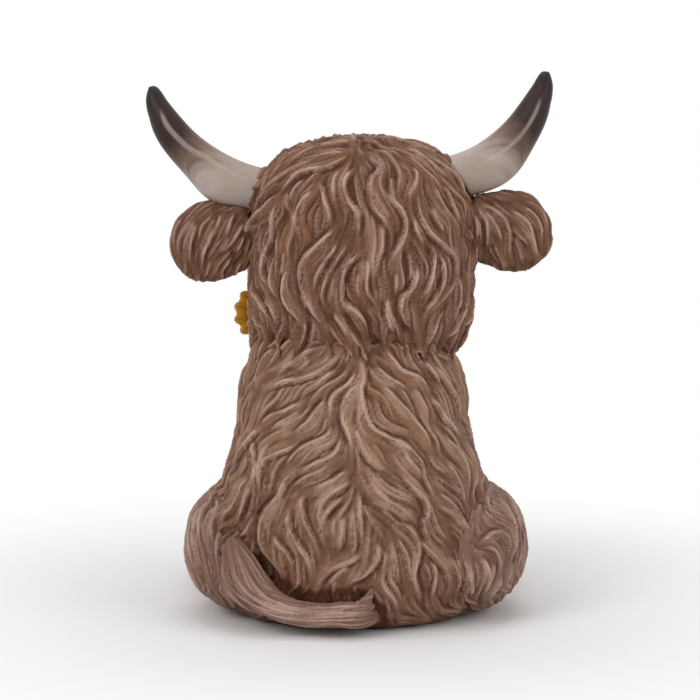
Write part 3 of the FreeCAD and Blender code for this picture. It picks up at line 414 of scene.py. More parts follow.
TUFT_LOCKS = (
    (3.2, (270, 600), (260, 586), (255, 572), (250, 559), (245, 547)),
    (3.4, (270, 602), (249, 591), (241, 577), (237, 560), (232, 540)),
    (3.2, (272, 604), (245, 595), (233, 581), (228, 563), (225, 545)),
    (2.8, (272, 605), (243, 598), (228, 586), (221, 570), (219, 553)),
    (2.8, (350, 613), (362, 608), (369, 598), (371, 587)),
    (2.8, (340, 613), (357, 614), (367, 611), (373, 603)),
)

# Body locks that hang over the haunches.
HAUNCH_LOCKS = (
    (3.4, (254, 460), (245, 479), (235, 496), (226, 511), (222, 523), (226, 533)),
    (3.0, (263, 468), (255, 487), (247, 503), (239, 517), (234, 530)),
    (2.6, (269, 484), (261, 501), (253, 516), (247, 528), (244, 539)),
)

# The raised line along each horn.
LEFT_HORN_LINES = (
    (1.1, (156, 93), (160, 108), (167, 125), (180, 140), (192, 150), (207, 158), (225, 170),
     (245, 180), (258, 188)),
)

RIGHT_HORN_LINES = (
    (0.9, (545, 80), (541, 97), (535, 113), (525, 130), (513, 143), (498, 155), (480, 166),
     (458, 178)),
)


@dataclass(frozen=True)
class Camera:
    """The photograph's camera: a long lens behind the cow, a little above it."""

    elevation: float = 8.0
    distance: float = 0.9
    focal_pixels: float = 3000.0
    image_pixels: float = 700.0
    sensor: float = 36.0
    clip: tuple[float, float] = (0.045, 45.0)
    aim: tuple[float, float, float] = (-0.0009, 0.0, 0.0779)

    def axes(self) -> tuple[Vector, Vector, Vector]:
        """The camera's own directions.

        Returns:
            Its right, its up and the way that it looks.
        """
        tilt = math.radians(self.elevation)
        forward = Vector((0, math.cos(tilt), -math.sin(tilt)))
        up = Vector((0, math.sin(tilt), math.cos(tilt)))
        return Vector((1, 0, 0)), up, forward

    def eye(self) -> Vector:
        """Where the camera stands."""
        return Vector(self.aim) - self.axes()[2] * self.distance

    def ray(self, pixel: Pixel) -> Vector:
        """The way from the eye through a pixel of the photograph.

        Args:
            pixel: Column and row in the 700 by 700 photograph.

        Returns:
            A unit direction.
        """
        right, up, forward = self.axes()
        centre = self.image_pixels / 2
        across = (pixel[0] - centre) / self.focal_pixels
        above = (centre - pixel[1]) / self.focal_pixels
        return (forward + right * across + up * above).normalized()

    def build(self) -> None:
        """Adds the camera and makes it the scene's own."""
        right, up, forward = self.axes()
        data = bpy.data.cameras.new("photo_camera")
        data.sensor_width = self.sensor
        data.lens = self.sensor * self.focal_pixels / self.image_pixels
        data.clip_start, data.clip_end = self.clip
        camera = bpy.data.objects.new("photo_camera", data)
        turn = Matrix((right, up, -forward)).transposed().to_4x4()
        camera.matrix_world = Matrix.Translation(self.eye()) @ turn
        bpy.context.scene.collection.objects.link(camera)
        bpy.context.scene.camera = camera


CAMERA = Camera()
EYE = CAMERA.eye() / MM


def colour(*screen: int) -> Colour:
    """A colour picked on a 0 to 255 screen scale, as the linear values that shaders take.

    Args:
        screen: Red, green and blue on the screen scale.

    Returns:
        Linear red, green and blue.
    """
    linear = []
    for share in (channel / 255 for channel in screen):
        linear.append(share / 12.92 if share <= 0.04045 else ((share + 0.055) / 1.055) ** 2.4)
    return linear[0], linear[1], linear[2]


class Ramp(NamedTuple):
    """Where a value starts and ceases to count, and what comes out at either end."""

    low: float
    high: float
    to_low: float = 0.0
    to_high: float = 1.0


class Shader:
    """A node tree under construction."""

    def __init__(self, name: str) -> None:
        """Starts a material with its own Principled shader.

        Args:
            name: The material's name.
        """
        self.material = bpy.data.materials.new(name)
        self.material.use_nodes = True
        self.nodes = self.material.node_tree.nodes
        self.links = self.material.node_tree.links
        self.principled = self.nodes["Principled BSDF"]

    def feed(self, target: Socket, value: object) -> None:
        """Links a socket into the target, or sets the target's own value.

        Args:
            target: The input.
            value: A socket, a number, a vector or a colour without its alpha.
        """
        if isinstance(value, Socket):
            self.links.new(value, target)
        else:
            target.default_value = (*value, 1.0) if target.type == "RGBA" else value

    def add(self, kind: str, inputs: Optional[Inputs] = None, **settings: object) -> bpy.types.Node:
        """A new node with its properties set and its inputs fed.

        Args:
            kind: The node's type.
            inputs: Sockets or plain values, by the name or number of the input.
            settings: The node's properties.

        Returns:
            The node.
        """
        node = self.nodes.new(kind)
        for key, value in settings.items():
            setattr(node, key, value)
        for key, value in (inputs or {}).items():
            self.feed(node.inputs[key], value)
        return node

    def attribute(self, name: str, output: str = "Fac") -> Socket:
        """What a mesh attribute holds at each point."""
        return self.add("ShaderNodeAttribute", attribute_name=name).outputs[output]

    def object_point(self) -> Socket:
        """The place on the object, in metres."""
        return self.add("ShaderNodeTexCoord").outputs["Object"]

    def scaled(self, vector: Socket, scale: Sequence[float]) -> Socket:
        """A vector stretched along its axes."""
        return self.add("ShaderNodeMapping", {"Vector": vector, "Scale": scale}).outputs["Vector"]

    def speckle(self, vector: Socket, scale: float, detail: float = 3.0) -> Socket:
        """Soft noise from 0 to 1 over a vector."""
        inputs = {"Vector": vector, "Scale": scale, "Detail": detail}
        return self.add("ShaderNodeTexNoise", inputs).outputs["Fac"]

    def maths(self, operation: str, *values: object, clamped: bool = True) -> Socket:
        """One sum of two or three values, clamped to 0 and 1 unless that is said."""
        inputs = dict(enumerate(values))
        return self.add("ShaderNodeMath", inputs, operation=operation, use_clamp=clamped).outputs[0]

    def times(self, first: object, second: object) -> Socket:
        """The product of two values, clamped to 0 and 1."""
        return self.maths("MULTIPLY", first, second)

    def span(self, value: object, ramp: Ramp) -> Socket:
        """A value brought smoothly from one range to another.

        Args:
            value: What is read.
            ramp: Both ranges.

        Returns:
            The socket with the result.
        """
        names = ("From Min", "From Max", "To Min", "To Max")
        inputs = {"Value": value, **dict(zip(names, ramp))}
        node = self.add("ShaderNodeMapRange", inputs, interpolation_type="SMOOTHSTEP")
        return node.outputs["Result"]

    def blend(self, share: object, first: object, second: object) -> Socket:
        """A mix of two colours by a share of the second."""
        inputs = {0: share, MIX_FIRST: first, MIX_SECOND: second}
        return self.add("ShaderNodeMix", inputs, data_type="RGBA").outputs[MIX_RESULT]

    def bump(self, height: object, strength: float, depth: float, **under: Socket) -> Socket:
        """A bumped normal.

        Args:
            height: What raises the surface.
            strength: How much of the bump counts.
            depth: Its depth in metres.
            under: As Normal, another bump below it.

        Returns:
            The normal.
        """
        inputs = {"Height": height, "Strength": strength, "Distance": depth, **under}
        return self.add("ShaderNodeBump", inputs).outputs["Normal"]

    def finish(self, base: object, roughness: object, **others: object) -> None:
        """Connects the shader and sets its plain numbers.

        Args:
            base: Colour socket or colour.
            roughness: Roughness socket or number.
            others: Other inputs by name, with underscores for spaces.
        """
        inputs = {"Base_Color": base, "Roughness": roughness, **others}
        for key, value in inputs.items():
            self.feed(self.principled.inputs[key.replace("_", " ")], value)


@dataclass(frozen=True)
class Paint:
    """A finish, which builds its own node material."""

    name: str

    def build(self) -> bpy.types.Material:
        """The finished material."""
        shader = Shader(self.name)
        self.mix(shader)
        return shader.material

    def mix(self, shader: Shader) -> None:
        """Lays the layers of the finish, which each kind of paint does its own way.

        Args:
            shader: The material that is painted.
        """
        raise NotImplementedError


@dataclass(frozen=True)
class HairPaint(Paint):
    """Brown paint with a dark wash in the hollows, painted shade where a lock lies on the coat, and
    a pale dry brush on the ridges.
    """

    base: Colour = colour(114, 78, 57)
    wash: Colour = colour(68, 36, 20)
    brushed: Colour = colour(156, 121, 103)
    crest: Colour = colour(192, 160, 142)
    tinted: Colour = colour(132, 92, 64)
    lower: Optional[Colour] = None
    patch_scale: float = 45.0
    dab_scale: float = 160.0
    speck_scale: float = 1400.0
    patches: Ramp = Ramp(0.35, 0.65)
    near_base: Ramp = Ramp(0.055, 0.036, 0.0, 0.8)
    tone_share: float = 0.3
    sweeps: Ramp = Ramp(0.4, 0.75)
    swept_rise: Ramp = Ramp(0.05, 0.6, 0.25, 0.8)
    creases: Ramp = Ramp(0.5, 0.15, 0.0, 0.6)
    # Dark wash in the hollows and painted shade beside a laid lock, both read from the hollow
    # attribute.
    hollows: Ramp = Ramp(0.2, 1.0, 0.0, 0.85)
    glints: Ramp = Ramp(0.58, 0.9)
    glint_rise: Ramp = Ramp(0.1, 0.6, 0.2, 0.75)
    line_breadth: tuple[float, float] = (0.6, 0.22)
    line_edge: Ramp = Ramp(1.0, 0.1)
    line_strength: Ramp = Ramp(0.2, 1.0)
    dabs: Ramp = Ramp(0.3, 0.62, 0.3, 1.0)
    dab_grain: Ramp = Ramp(0.1, 0.6, 0.6, 1.0)
    base_brush: Ramp = Ramp(1.0, 0.0, 0.6, 1.0)
    crisp_edge: Ramp = Ramp(0.8, 0.0)
    roughness: Ramp = Ramp(0.2, 0.8, 0.47, 0.6)
    speck_bump: Bump = (0.25, 0.1 * MM)
    crisp_bump: Bump = (0.6, 0.3 * MM)
    specular: float = 0.22

    def mix(self, shader: Shader) -> None:
        """Base, washes, streaks and then the brushed lines, one over the other.

        Args:
            shader: The material that is painted.
        """
        point = shader.object_point()
        fine = shader.attribute("fine")
        swell = shader.attribute("swell")
        bold = shader.attribute("bold")
        beside = shader.maths("ABSOLUTE", shader.attribute("across"), 0.0)
        patch = shader.speckle(point, self.patch_scale, 2.0)
        layer = shader.blend(shader.span(patch, self.patches), self.base, self.tinted)
        low: object = 0.0
        if self.lower is not None:
            height = shader.add("ShaderNodeSeparateXYZ", {0: point}).outputs["Z"]
            low = shader.span(height, self.near_base)
            layer = shader.blend(low, layer, self.lower)
        tone = shader.times(shader.attribute("tone"), self.tone_share)
        layer = shader.blend(tone, layer, self.wash)
        sweep = shader.span(shader.attribute("broad"), self.sweeps)
        swept = shader.times(sweep, shader.span(swell, self.swept_rise))
        layer = shader.blend(swept, layer, self.brushed)
        layer = shader.blend(shader.span(fine, self.creases), layer, self.wash)
        # Dark wash in the hollows, and painted shade where the tail lies on the coat.
        hollow = shader.span(shader.attribute("hollow"), self.hollows)
        layer = shader.blend(hollow, layer, self.wash)
        glint = shader.times(shader.span(fine, self.glints), shader.span(swell, self.glint_rise))
        layer = shader.blend(glint, layer, self.brushed)
        breadth = shader.maths("MULTIPLY_ADD", bold, *self.line_breadth, clamped=False)
        edge = shader.span(shader.maths("DIVIDE", beside, breadth), self.line_edge)
        line = shader.times(edge, shader.span(bold, self.line_strength))
        dab = shader.span(shader.speckle(point, self.dab_scale, 2.0), self.dabs)
        brush = shader.times(line, shader.times(dab, shader.span(fine, self.dab_grain)))
        brush = shader.times(brush, shader.span(low, self.base_brush))
        layer = shader.blend(brush, layer, self.crest)
        crisp = shader.times(shader.span(beside, self.crisp_edge), bold)
        speck = shader.speckle(point, self.speck_scale, 2.0)
        brushed = shader.bump(crisp, *self.crisp_bump)
        normal = shader.bump(speck, *self.speck_bump, Normal=brushed)
        rough = shader.span(fine, self.roughness)
        shader.finish(layer, rough, Normal=normal, Specular_IOR_Level=self.specular)


@dataclass(frozen=True)
class HornPaint(Paint):
    """Cream-grey horn that is brushed to dark brown towards its tip, with a painted highlight along
    its raised line.
    """

    root: Colour = colour(180, 166, 158)
    warm: Colour = colour(160, 143, 132)
    brown: Colour = colour(112, 82, 66)
    dark: Colour = colour(48, 32, 28)
    tip: Colour = colour(34, 24, 24)
    streak_scale: tuple[float, float, float] = (0.06, 1.1, 1.0)
    grain_scale: tuple[float, float, float] = (0.35, 3.0, 1.0)
    cloud_scale: float = 70.0
    clouds: Ramp = Ramp(0.3, 0.7)
    grains: Ramp = Ramp(0.4, 0.75, 0.0, 0.3)
    streak_reach: float = 0.34
    browned: Ramp = Ramp(0.5, 0.74, 0.0, 0.85)
    darkened: Ramp = Ramp(0.62, 0.88)
    tipped: Ramp = Ramp(0.8, 1.0)
    # Where the painted highlight along the raised line shows, by height and by streak.
    worn_rise: Ramp = Ramp(0.42, 0.95)
    worn_streak: Ramp = Ramp(0.3, 0.6, 0.2, 0.5)
    grain_bump: Bump = (0.3, 0.3 * MM)
    roughness: float = 0.42
    specular: float = 0.22

    def mix(self, shader: Shader) -> None:
        """The colours from root to tip, and a painted highlight along the raised line on top.

        Args:
            shader: The material that is painted.
        """
        along = shader.attribute("along")
        strand = shader.attribute("strand", "Vector")
        streak = shader.speckle(shader.scaled(strand, self.streak_scale), 1.0, 4.0)
        grain = shader.speckle(shader.scaled(strand, self.grain_scale), 1.0)
        cloud = shader.speckle(shader.object_point(), self.cloud_scale, 2.0)
        layer = shader.blend(shader.span(cloud, self.clouds), self.root, self.warm)
        layer = shader.blend(shader.span(grain, self.grains), layer, self.warm)
        reach = shader.maths("MULTIPLY_ADD", streak, self.streak_reach, along, clamped=False)
        layer = shader.blend(shader.span(reach, self.browned), layer, self.brown)
        layer = shader.blend(shader.span(reach, self.darkened), layer, self.dark)
        layer = shader.blend(shader.span(along, self.tipped), layer, self.tip)
        # Painted highlight: the root's pale colour laid along the top of the raised line, broken by
        # streaks.
        rise = shader.span(shader.attribute("swell"), self.worn_rise)
        worn = shader.times(rise, shader.span(streak, self.worn_streak))
        layer = shader.blend(worn, layer, self.root)
        normal = shader.bump(grain, *self.grain_bump)
        shader.finish(layer, self.roughness, Normal=normal, Specular_IOR_Level=self.specular)


@dataclass(frozen=True)
class SolidPaint(Paint):
    """A hand-painted surface with a second tone in soft clouds and a fine brushed grain."""

    base: Colour
    second: Colour
    cloud: float = 90.0
    grain: float = 900.0
    clouds: Ramp = Ramp(0.35, 0.65)
    roughness: float = 0.5
    smoother: float = 0.05
    rougher: float = 0.07
    grains: tuple[float, float] = (0.3, 0.7)
    strength: float = 0.35
    depth: float = 0.2 * MM
    metallic: float = 0.0
    specular: float = 0.25

    def mix(self, shader: Shader) -> None:
        """Two tones and the grain.

        Args:
            shader: The material that is painted.
        """
        point = shader.object_point()
        cloud = shader.span(shader.speckle(point, self.cloud), self.clouds)
        grain = shader.speckle(point, self.grain)
        smooth, rough = self.roughness - self.smoother, self.roughness + self.rougher
        shader.finish(
            shader.blend(cloud, self.base, self.second),
            shader.span(grain, Ramp(*self.grains, smooth, rough)),
            Normal=shader.bump(grain, self.strength, self.depth), Metallic=self.metallic,
            Specular_IOR_Level=self.specular,
        )


@dataclass(frozen=True)
class SkinPaint(Paint):
    """Pinkish muzzle skin with darker nostrils and lips, which a mesh attribute marks."""

    skin: Colour = colour(186, 150, 134)
    shade: Colour = colour(120, 82, 66)
    deep: Colour = colour(58, 38, 34)
    cloud_scale: float = 120.0
    pore_scale: float = 1300.0
    clouds: Ramp = Ramp(0.3, 0.75, 0.0, 0.55)
    marks: Ramp = Ramp(0.25, 0.9)
    pore_bump: Bump = (0.4, 0.2 * MM)
    roughness: float = 0.42
    specular: float = 0.45

    def mix(self, shader: Shader) -> None:
        """Skin, shade and the dark marks.

        Args:
            shader: The material that is painted.
        """
        point = shader.object_point()
        cloud = shader.span(shader.speckle(point, self.cloud_scale), self.clouds)
        layer = shader.blend(cloud, self.skin, self.shade)
        layer = shader.blend(shader.span(shader.attribute("hollow"), self.marks), layer, self.deep)
        pores = shader.bump(shader.speckle(point, self.pore_scale, 2.0), *self.pore_bump)
        shader.finish(layer, self.roughness, Normal=pores, Specular_IOR_Level=self.specular)


@dataclass(frozen=True)
class EyePaint(Paint):
    """A dark brown iris round a black pupil, under a clear coat."""

    ball: Colour = colour(22, 13, 10)
    iris: Colour = colour(84, 46, 22)
    inner: Colour = colour(48, 25, 13)
    pupil: Colour = colour(6, 5, 5)
    fleck_scale: float = 1500.0
    flecks: Ramp = Ramp(0.3, 0.7)
    iris_rim: Ramp = Ramp(0.2, 0.27)
    pupil_rim: Ramp = Ramp(0.13, 0.11)
    roughness: float = 0.22
    specular: float = 0.12
    coat: float = 0.1
    coat_roughness: float = 0.05

    def mix(self, shader: Shader) -> None:
        """Iris, ball and pupil by how far they are from the pupil's middle.

        Args:
            shader: The material that is painted.
        """
        away = shader.attribute("away")
        fleck = shader.speckle(shader.object_point(), self.fleck_scale)
        layer = shader.blend(shader.span(fleck, self.flecks), self.iris, self.inner)
        layer = shader.blend(shader.span(away, self.iris_rim), layer, self.ball)
        layer = shader.blend(shader.span(away, self.pupil_rim), layer, self.pupil)
        shader.finish(
            layer, self.roughness, Specular_IOR_Level=self.specular, Coat_Weight=self.coat,
            Coat_Roughness=self.coat_roughness,
        )


@dataclass(frozen=True)
class PetalPaint(Paint):
    """Yellow petals, orange at their roots and in the creases, with brushed paler tips."""

    base: Colour = colour(206, 146, 22)
    root: Colour = colour(158, 92, 14)
    tip: Colour = colour(226, 184, 92)
    cloud_scale: float = 420.0
    rooted: Ramp = Ramp(0.75, 0.2, 0.0, 0.85)
    creased: Ramp = Ramp(0.28, 0.0, 0.0, 0.55)
    tipped: Ramp = Ramp(0.75, 1.0)
    tip_clouds: Ramp = Ramp(0.35, 0.65, 0.1, 0.8)
    cloud_bump: Bump = (0.35, 0.2 * MM)
    roughness: float = 0.48
    specular: float = 0.35

    def mix(self, shader: Shader) -> None:
        """Root, crease and tip.

        Args:
            shader: The material that is painted.
        """
        along = shader.attribute("along")
        cloud = shader.speckle(shader.object_point(), self.cloud_scale)
        layer = shader.blend(shader.span(along, self.rooted), self.base, self.root)
        crease = shader.span(shader.attribute("beside"), self.creased)
        layer = shader.blend(crease, layer, self.root)
        tip = shader.times(shader.span(along, self.tipped), shader.span(cloud, self.tip_clouds))
        layer = shader.blend(tip, layer, self.tip)
        normal = shader.bump(cloud, *self.cloud_bump)
        shader.finish(layer, self.roughness, Normal=normal, Specular_IOR_Level=self.specular)


@dataclass(frozen=True)
class HoofPaint(Paint):
    """Dark hoof with worn growth rings and a few paler brush strokes."""

    base: Colour = colour(58, 44, 37)
    worn: Colour = colour(96, 78, 66)
    deep: Colour = colour(34, 25, 21)
    ring_scale: tuple[float, float, float] = (60.0, 60.0, 420.0)
    cloud_scale: float = 160.0
    ringed: Ramp = Ramp(0.4, 0.62, 0.0, 0.45)
    worn_clouds: Ramp = Ramp(0.5, 0.75)
    worn_rings: Ramp = Ramp(0.6, 0.4)
    ring_bump: Bump = (0.3, 0.2 * MM)
    roughness: float = 0.46
    specular: float = 0.3

    def mix(self, shader: Shader) -> None:
        """Rings and worn places.

        Args:
            shader: The material that is painted.
        """
        point = shader.object_point()
        rings = shader.speckle(shader.scaled(point, self.ring_scale), 1.0, 2.0)
        cloud = shader.span(shader.speckle(point, self.cloud_scale), self.worn_clouds)
        layer = shader.blend(shader.span(rings, self.ringed), self.base, self.deep)
        worn = shader.times(cloud, shader.span(rings, self.worn_rings))
        layer = shader.blend(worn, layer, self.worn)
        normal = shader.bump(rings, *self.ring_bump)
        shader.finish(layer, self.roughness, Normal=normal, Specular_IOR_Level=self.specular)


@dataclass(frozen=True)
class Finishes:
    """Every finish of the figurine."""

    body_hair: HairPaint = HairPaint(
        "body_hair", base=colour(143, 107, 83), tinted=colour(140, 101, 75),
        brushed=colour(166, 133, 114), crest=colour(192, 161, 143), lower=colour(126, 89, 67),
    )
    haunch_hair: HairPaint = HairPaint(
        "haunch_hair", base=colour(142, 110, 94), wash=colour(84, 52, 38),
        tinted=colour(138, 104, 86), brushed=colour(168, 138, 124), crest=colour(188, 159, 146),
    )
    head_hair: HairPaint = HairPaint("head_hair")
    ear_hair: HairPaint = HairPaint(
        "ear_hair", base=colour(112, 77, 56), wash=colour(80, 47, 32),
        tinted=colour(126, 89, 63), crest=colour(180, 150, 134),
    )
    tail_hair: HairPaint = HairPaint(
        "tail_hair", base=colour(146, 114, 100), wash=colour(90, 58, 44),
        tinted=colour(140, 106, 90), brushed=colour(166, 136, 123), crest=colour(182, 152, 139),
    )
    horn: HornPaint = HornPaint("horn_paint")
    skin: SkinPaint = SkinPaint("muzzle_paint")
    eye: EyePaint = EyePaint("eye_gloss")
    lid: SolidPaint = SolidPaint("lid_paint", colour(96, 64, 48), colour(70, 42, 30), cloud=300.0)
    hoof: HoofPaint = HoofPaint("hoof_paint")
    petal: PetalPaint = PetalPaint("petal_paint")
    seeds: SolidPaint = SolidPaint(
        "seed_paint", colour(84, 52, 30), colour(56, 34, 22), cloud=500.0
    )
    stem: SolidPaint = SolidPaint(
        "stem_paint", colour(88, 108, 52), colour(66, 86, 40), cloud=200.0
    )
    felt: SolidPaint = SolidPaint(
        "base_felt", colour(44, 46, 44), colour(60, 62, 58), grain=2500.0, roughness=0.95,
        depth=0.6 * MM,
    )
    resin: SolidPaint = SolidPaint(
        "bare_resin", colour(196, 190, 178), colour(180, 173, 160), roughness=0.6
    )
    steel: SolidPaint = SolidPaint(
        "dowel_steel", colour(176, 178, 180), colour(150, 152, 156), roughness=0.3,
        metallic=1.0, specular=0.5,
    )


FINISHES = Finishes()


def deselect() -> None:
    """Leaves nothing selected."""
    if bpy.context.object and bpy.context.object.mode != "OBJECT":
        bpy.ops.object.mode_set(mode="OBJECT")
    bpy.ops.object.select_all(action="DESELECT")


def choose(*pieces: Piece) -> None:
    """Selects just these pieces and makes the first active."""
    deselect()
    for piece in pieces:
        piece.select_set(True)
    bpy.context.view_layer.objects.active = pieces[0]


def joined(pieces: Sequence[Piece]) -> Piece:
    """Several pieces as one, which keeps the first one's place."""
    choose(*pieces)
    bpy.ops.object.join()
    return bpy.context.view_layer.objects.active


def apply_modifier(piece: Piece, kind: str, **settings: object) -> None:
    """Adds a modifier, sets it and applies it.

    Args:
        piece: The object it goes on.
        kind: The modifier's type.
        settings: Its properties.
    """
    choose(piece)
    bpy.ops.object.modifier_add(type=kind)
    modifier = piece.modifiers[-1]
    for key, value in settings.items():
        setattr(modifier, key, value)
    bpy.ops.object.modifier_apply(modifier=modifier.name)


def soften(piece: Piece, times: int) -> None:
    """Smooths a mesh a number of times."""
    apply_modifier(piece, "SMOOTH", factor=0.5, iterations=times)


def name_piece(piece: Piece, name: str) -> Piece:
    """Names a piece and its mesh alike."""
    piece.name = name
    piece.data.name = name
    return piece


def settle(piece: Piece, name: str) -> Piece:
    """Puts a piece's place into its mesh and names it."""
    choose(piece)
    bpy.ops.object.transform_apply(location=True, rotation=True, scale=True)
    return name_piece(piece, name)


def hand_over(piece: Piece, paint: Paint, nodes: Sequence[str]) -> None:
    """Dresses a finished piece and ties it to the frame.

    Args:
        piece: The finished object.
        paint: Its finish.
        nodes: The frame's nodes that it stands for.
    """
    choose(piece)
    bpy.ops.object.shade_smooth()
    piece.data.materials.clear()
    piece.data.materials.append(paint.build())
    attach(piece, "root")
    if nodes:
        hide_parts(*nodes)
    LOG.info("%s: %d faces", piece.name, len(piece.data.polygons))


def mesh_arrays(piece: Piece) -> tuple[np.ndarray, np.ndarray]:
    """A mesh's points and their normals.

    Args:
        piece: The object that has the mesh.

    Returns:
        Two arrays with a row for each point.
    """
    mesh = piece.data
    mesh.update()
    points = np.zeros(len(mesh.vertices) * 3)
    normals = np.zeros(len(mesh.vertices) * 3)
    mesh.vertices.foreach_get("co", points)
    mesh.vertex_normals.foreach_get("vector", normals)
    return points.reshape(-1, 3), normals.reshape(-1, 3)


def write_points(piece: Piece, points: np.ndarray) -> None:
    """Moves a mesh's points."""
    piece.data.vertices.foreach_set("co", points.ravel())
    piece.data.update()


def write_numbers(piece: Piece, name: str, numbers: np.ndarray) -> None:
    """Keeps a number at each of a mesh's points."""
    piece.data.attributes.new(name, "FLOAT", "POINT").data.foreach_set("value", numbers)


def recalculate(piece: Piece) -> None:
    """Turns every face outwards.

    Args:
        piece: Any closed mesh.
    """
    choose(piece)
    bpy.ops.object.mode_set(mode="EDIT")
    bpy.ops.mesh.select_all(action="SELECT")
    bpy.ops.mesh.normals_make_consistent(inside=False)
    bpy.ops.object.mode_set(mode="OBJECT")


def own_copy(pattern: Piece) -> Piece:
    """A copy of a piece with its own mesh."""
    copy = pattern.copy()
    copy.data = pattern.data.copy()
    bpy.context.scene.collection.objects.link(copy)
    return copy


def copy_node(node: str, name: str, *others: str) -> Piece:
    """A merged copy of some of the frame's nodes as one new piece.

    Args:
        node: The node that gives the copy its place.
        name: What the piece is called.
        others: More nodes that are joined to it.

    Returns:
        The piece.
    """
    copies = []
    for source in (node, *others):
        copy = own_copy(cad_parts[source])
        copy.parent = None
        copy.hide_render = False
        copy.hide_viewport = False
        for key in list(copy.keys()):
            del copy[key]
        copies.append(copy)
    choose(*copies)
    if others:
        bpy.ops.object.join()
    piece = name_piece(bpy.context.view_layer.objects.active, name)
    bpy.ops.object.mode_set(mode="EDIT")
    bpy.ops.mesh.select_all(action="SELECT")
    bpy.ops.mesh.remove_doubles(threshold=MERGE_GAP)
    bpy.ops.object.mode_set(mode="OBJECT")
    return piece


def clipped(values: np.ndarray) -> np.ndarray:
    """Numbers held between 0 and 1."""
    return np.clip(values, 0, 1)


def bell(values: np.ndarray, width: float) -> np.ndarray:
    """A bell curve over numbers, 1 at 0 and about a third at its width."""
    return np.exp(-((values / width) ** 2))


def eased(values: np.ndarray) -> np.ndarray:
    """A smooth step from 0 to 1."""
    held = clipped(values)
    return held * held * (3 - 2 * held)


def unit_share(value: float) -> float:
    """One number held between 0 and 1."""
    return min(max(value, 0), 1)


@dataclass(frozen=True)
class Crest:
    """Cross section of a lock's raised edge, in millimetres: sharp, with one steep side."""

    height: float = 1.35
    gentle: float = 4.2
    steep: float = 1.9
    lip: float = 0.5
    lip_share: float = 0.4
    rounding: float = 0.12
    cut: float = 0.45
    cut_share: float = 0.62
    sink: float = 0.55
    fine: float = 0.11
    broad: float = 0.3
    margin: float = 0.4
    least_breadth: float = 0.45
    root_share: float = 0.22
    tip_share: float = 0.42
    way_reach: float = 1.8
    brush_reach: float = 1.1
    brush_fade: float = 0.4


@dataclass(frozen=True)
class Growth:
    """How the locks that aren't traced grow, in millimetres, radians and shares."""

    spacing: float = 2.6
    length: float = 26.0
    shortest: float = 5.6
    step: float = 0.8
    swing: float = 0.75
    wave: float = 19.0
    drift: float = 8.0
    drift_scale: float = 1.3
    bias: float = 0.3
    strength: tuple[float, float] = (0.25, 0.8)
    length_range: tuple[float, float] = (0.5, 0.8)
    backward: float = 0.4
    root_room: float = 0.6
    tip_room: float = 0.34
    pull: float = 0.9
    pull_reach: float = 2.2
    most: int = 1300
    tries: int = 14


@dataclass(frozen=True)
class Seam:
    """How the line where two nodes meet is found, in millimetres."""

    steps: int = 44
    reach: float = 0.9
    rise: float = 0.6
    least_bend: float = 0.6
    sight: float = 60.0
    lowest: float = 4.0


@dataclass(frozen=True)
class Streak:
    """How noise is drawn out along the hair, in millimetres."""

    cell: float
    steps: int


@dataclass(frozen=True)
class Press:
    """How a coat gives way under a lock that is laid on it, and how far the painted shade beside
    that lock reaches, in millimetres and shares.
    """

    reach: float = 4.0
    fade: float = 3.0
    depth: float = 0.8
    flattening: float = 0.7
    steps: int = 8
    open_ends: int = 3


@dataclass(frozen=True)
class Relief:
    """How height, trench and streaks become what the paint and the points follow, in shares."""

    trench_top: float = 1.1
    combed: float = 0.6
    combed_to: float = 0.3
    open_below: float = 2.4
    open_share: float = 0.6
    trench_share: float = 0.8
    most: float = 1.5
    streak_range: float = 4.0


@dataclass
class Ridge:
    """One line of hair on the surface: its points in millimetres and how it stands out."""

    points: np.ndarray
    strength: float
    side: int
    tone: float


@dataclass(frozen=True)
class Lock:
    """A free lock of hair: its way in millimetres, and how thick it is from root to tip."""

    path: tuple[Vector, ...]
    radii: tuple[float, ...]


SEAM = Seam()
PRESS = Press()
RELIEF = Relief()
FINE_STREAK = Streak(0.55, 8)
BROAD_STREAK = Streak(1.7, 11)
SMALL_CREST = Crest(
    height=0.95, gentle=2.8, steep=1.3, lip=0.4, rounding=0.1, cut=0.35, sink=0.4, fine=0.1,
    broad=0.2,
)
TAIL_CREST = Crest(
    height=0.35, gentle=1.4, steep=0.8, lip=0.3, rounding=0.1, cut=0.15, sink=0.15, fine=0.1,
    broad=0.2,
)
HORN_CREST = Crest(
    height=0.45, gentle=2.2, steep=1.7, lip=0.8, lip_share=0.3, rounding=0.4, cut=0.2, sink=0.1,
    fine=0.0, broad=0.0,
)


def grain(cells: np.ndarray, seed: int) -> np.ndarray:
    """A steady random number for the cell of space that each place falls in.

    Args:
        cells: Places, in cells.
        seed: Which of many grains it is.

    Returns:
        A number from -1 to 1 for each place.
    """
    whole = np.floor(cells).astype(np.int64) * HASH_PRIMES
    mixed = whole[:, 0] ^ whole[:, 1] ^ whole[:, 2] ^ (seed * HASH_SEED)
    mixed = (mixed ^ (mixed >> 13)) * HASH_MIX
    mixed ^= mixed >> 16
    return (mixed & HASH_MASK) / (HASH_MASK / 2) - 1


def node_surface(*names: str) -> BVHTree:
    """The skins of some of the frame's nodes as one search tree.

    Args:
        names: The nodes.

    Returns:
        The tree, in millimetres.
    """
    points: list[Vector] = []
    faces: list[tuple[int, ...]] = []
    for name in names:
        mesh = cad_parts[name].data
        first = len(points)
        points += [vertex.co / MM for vertex in mesh.vertices]
        faces += [tuple(first + index for index in face.vertices) for face in mesh.polygons]
    return BVHTree.FromPolygons(points, faces)


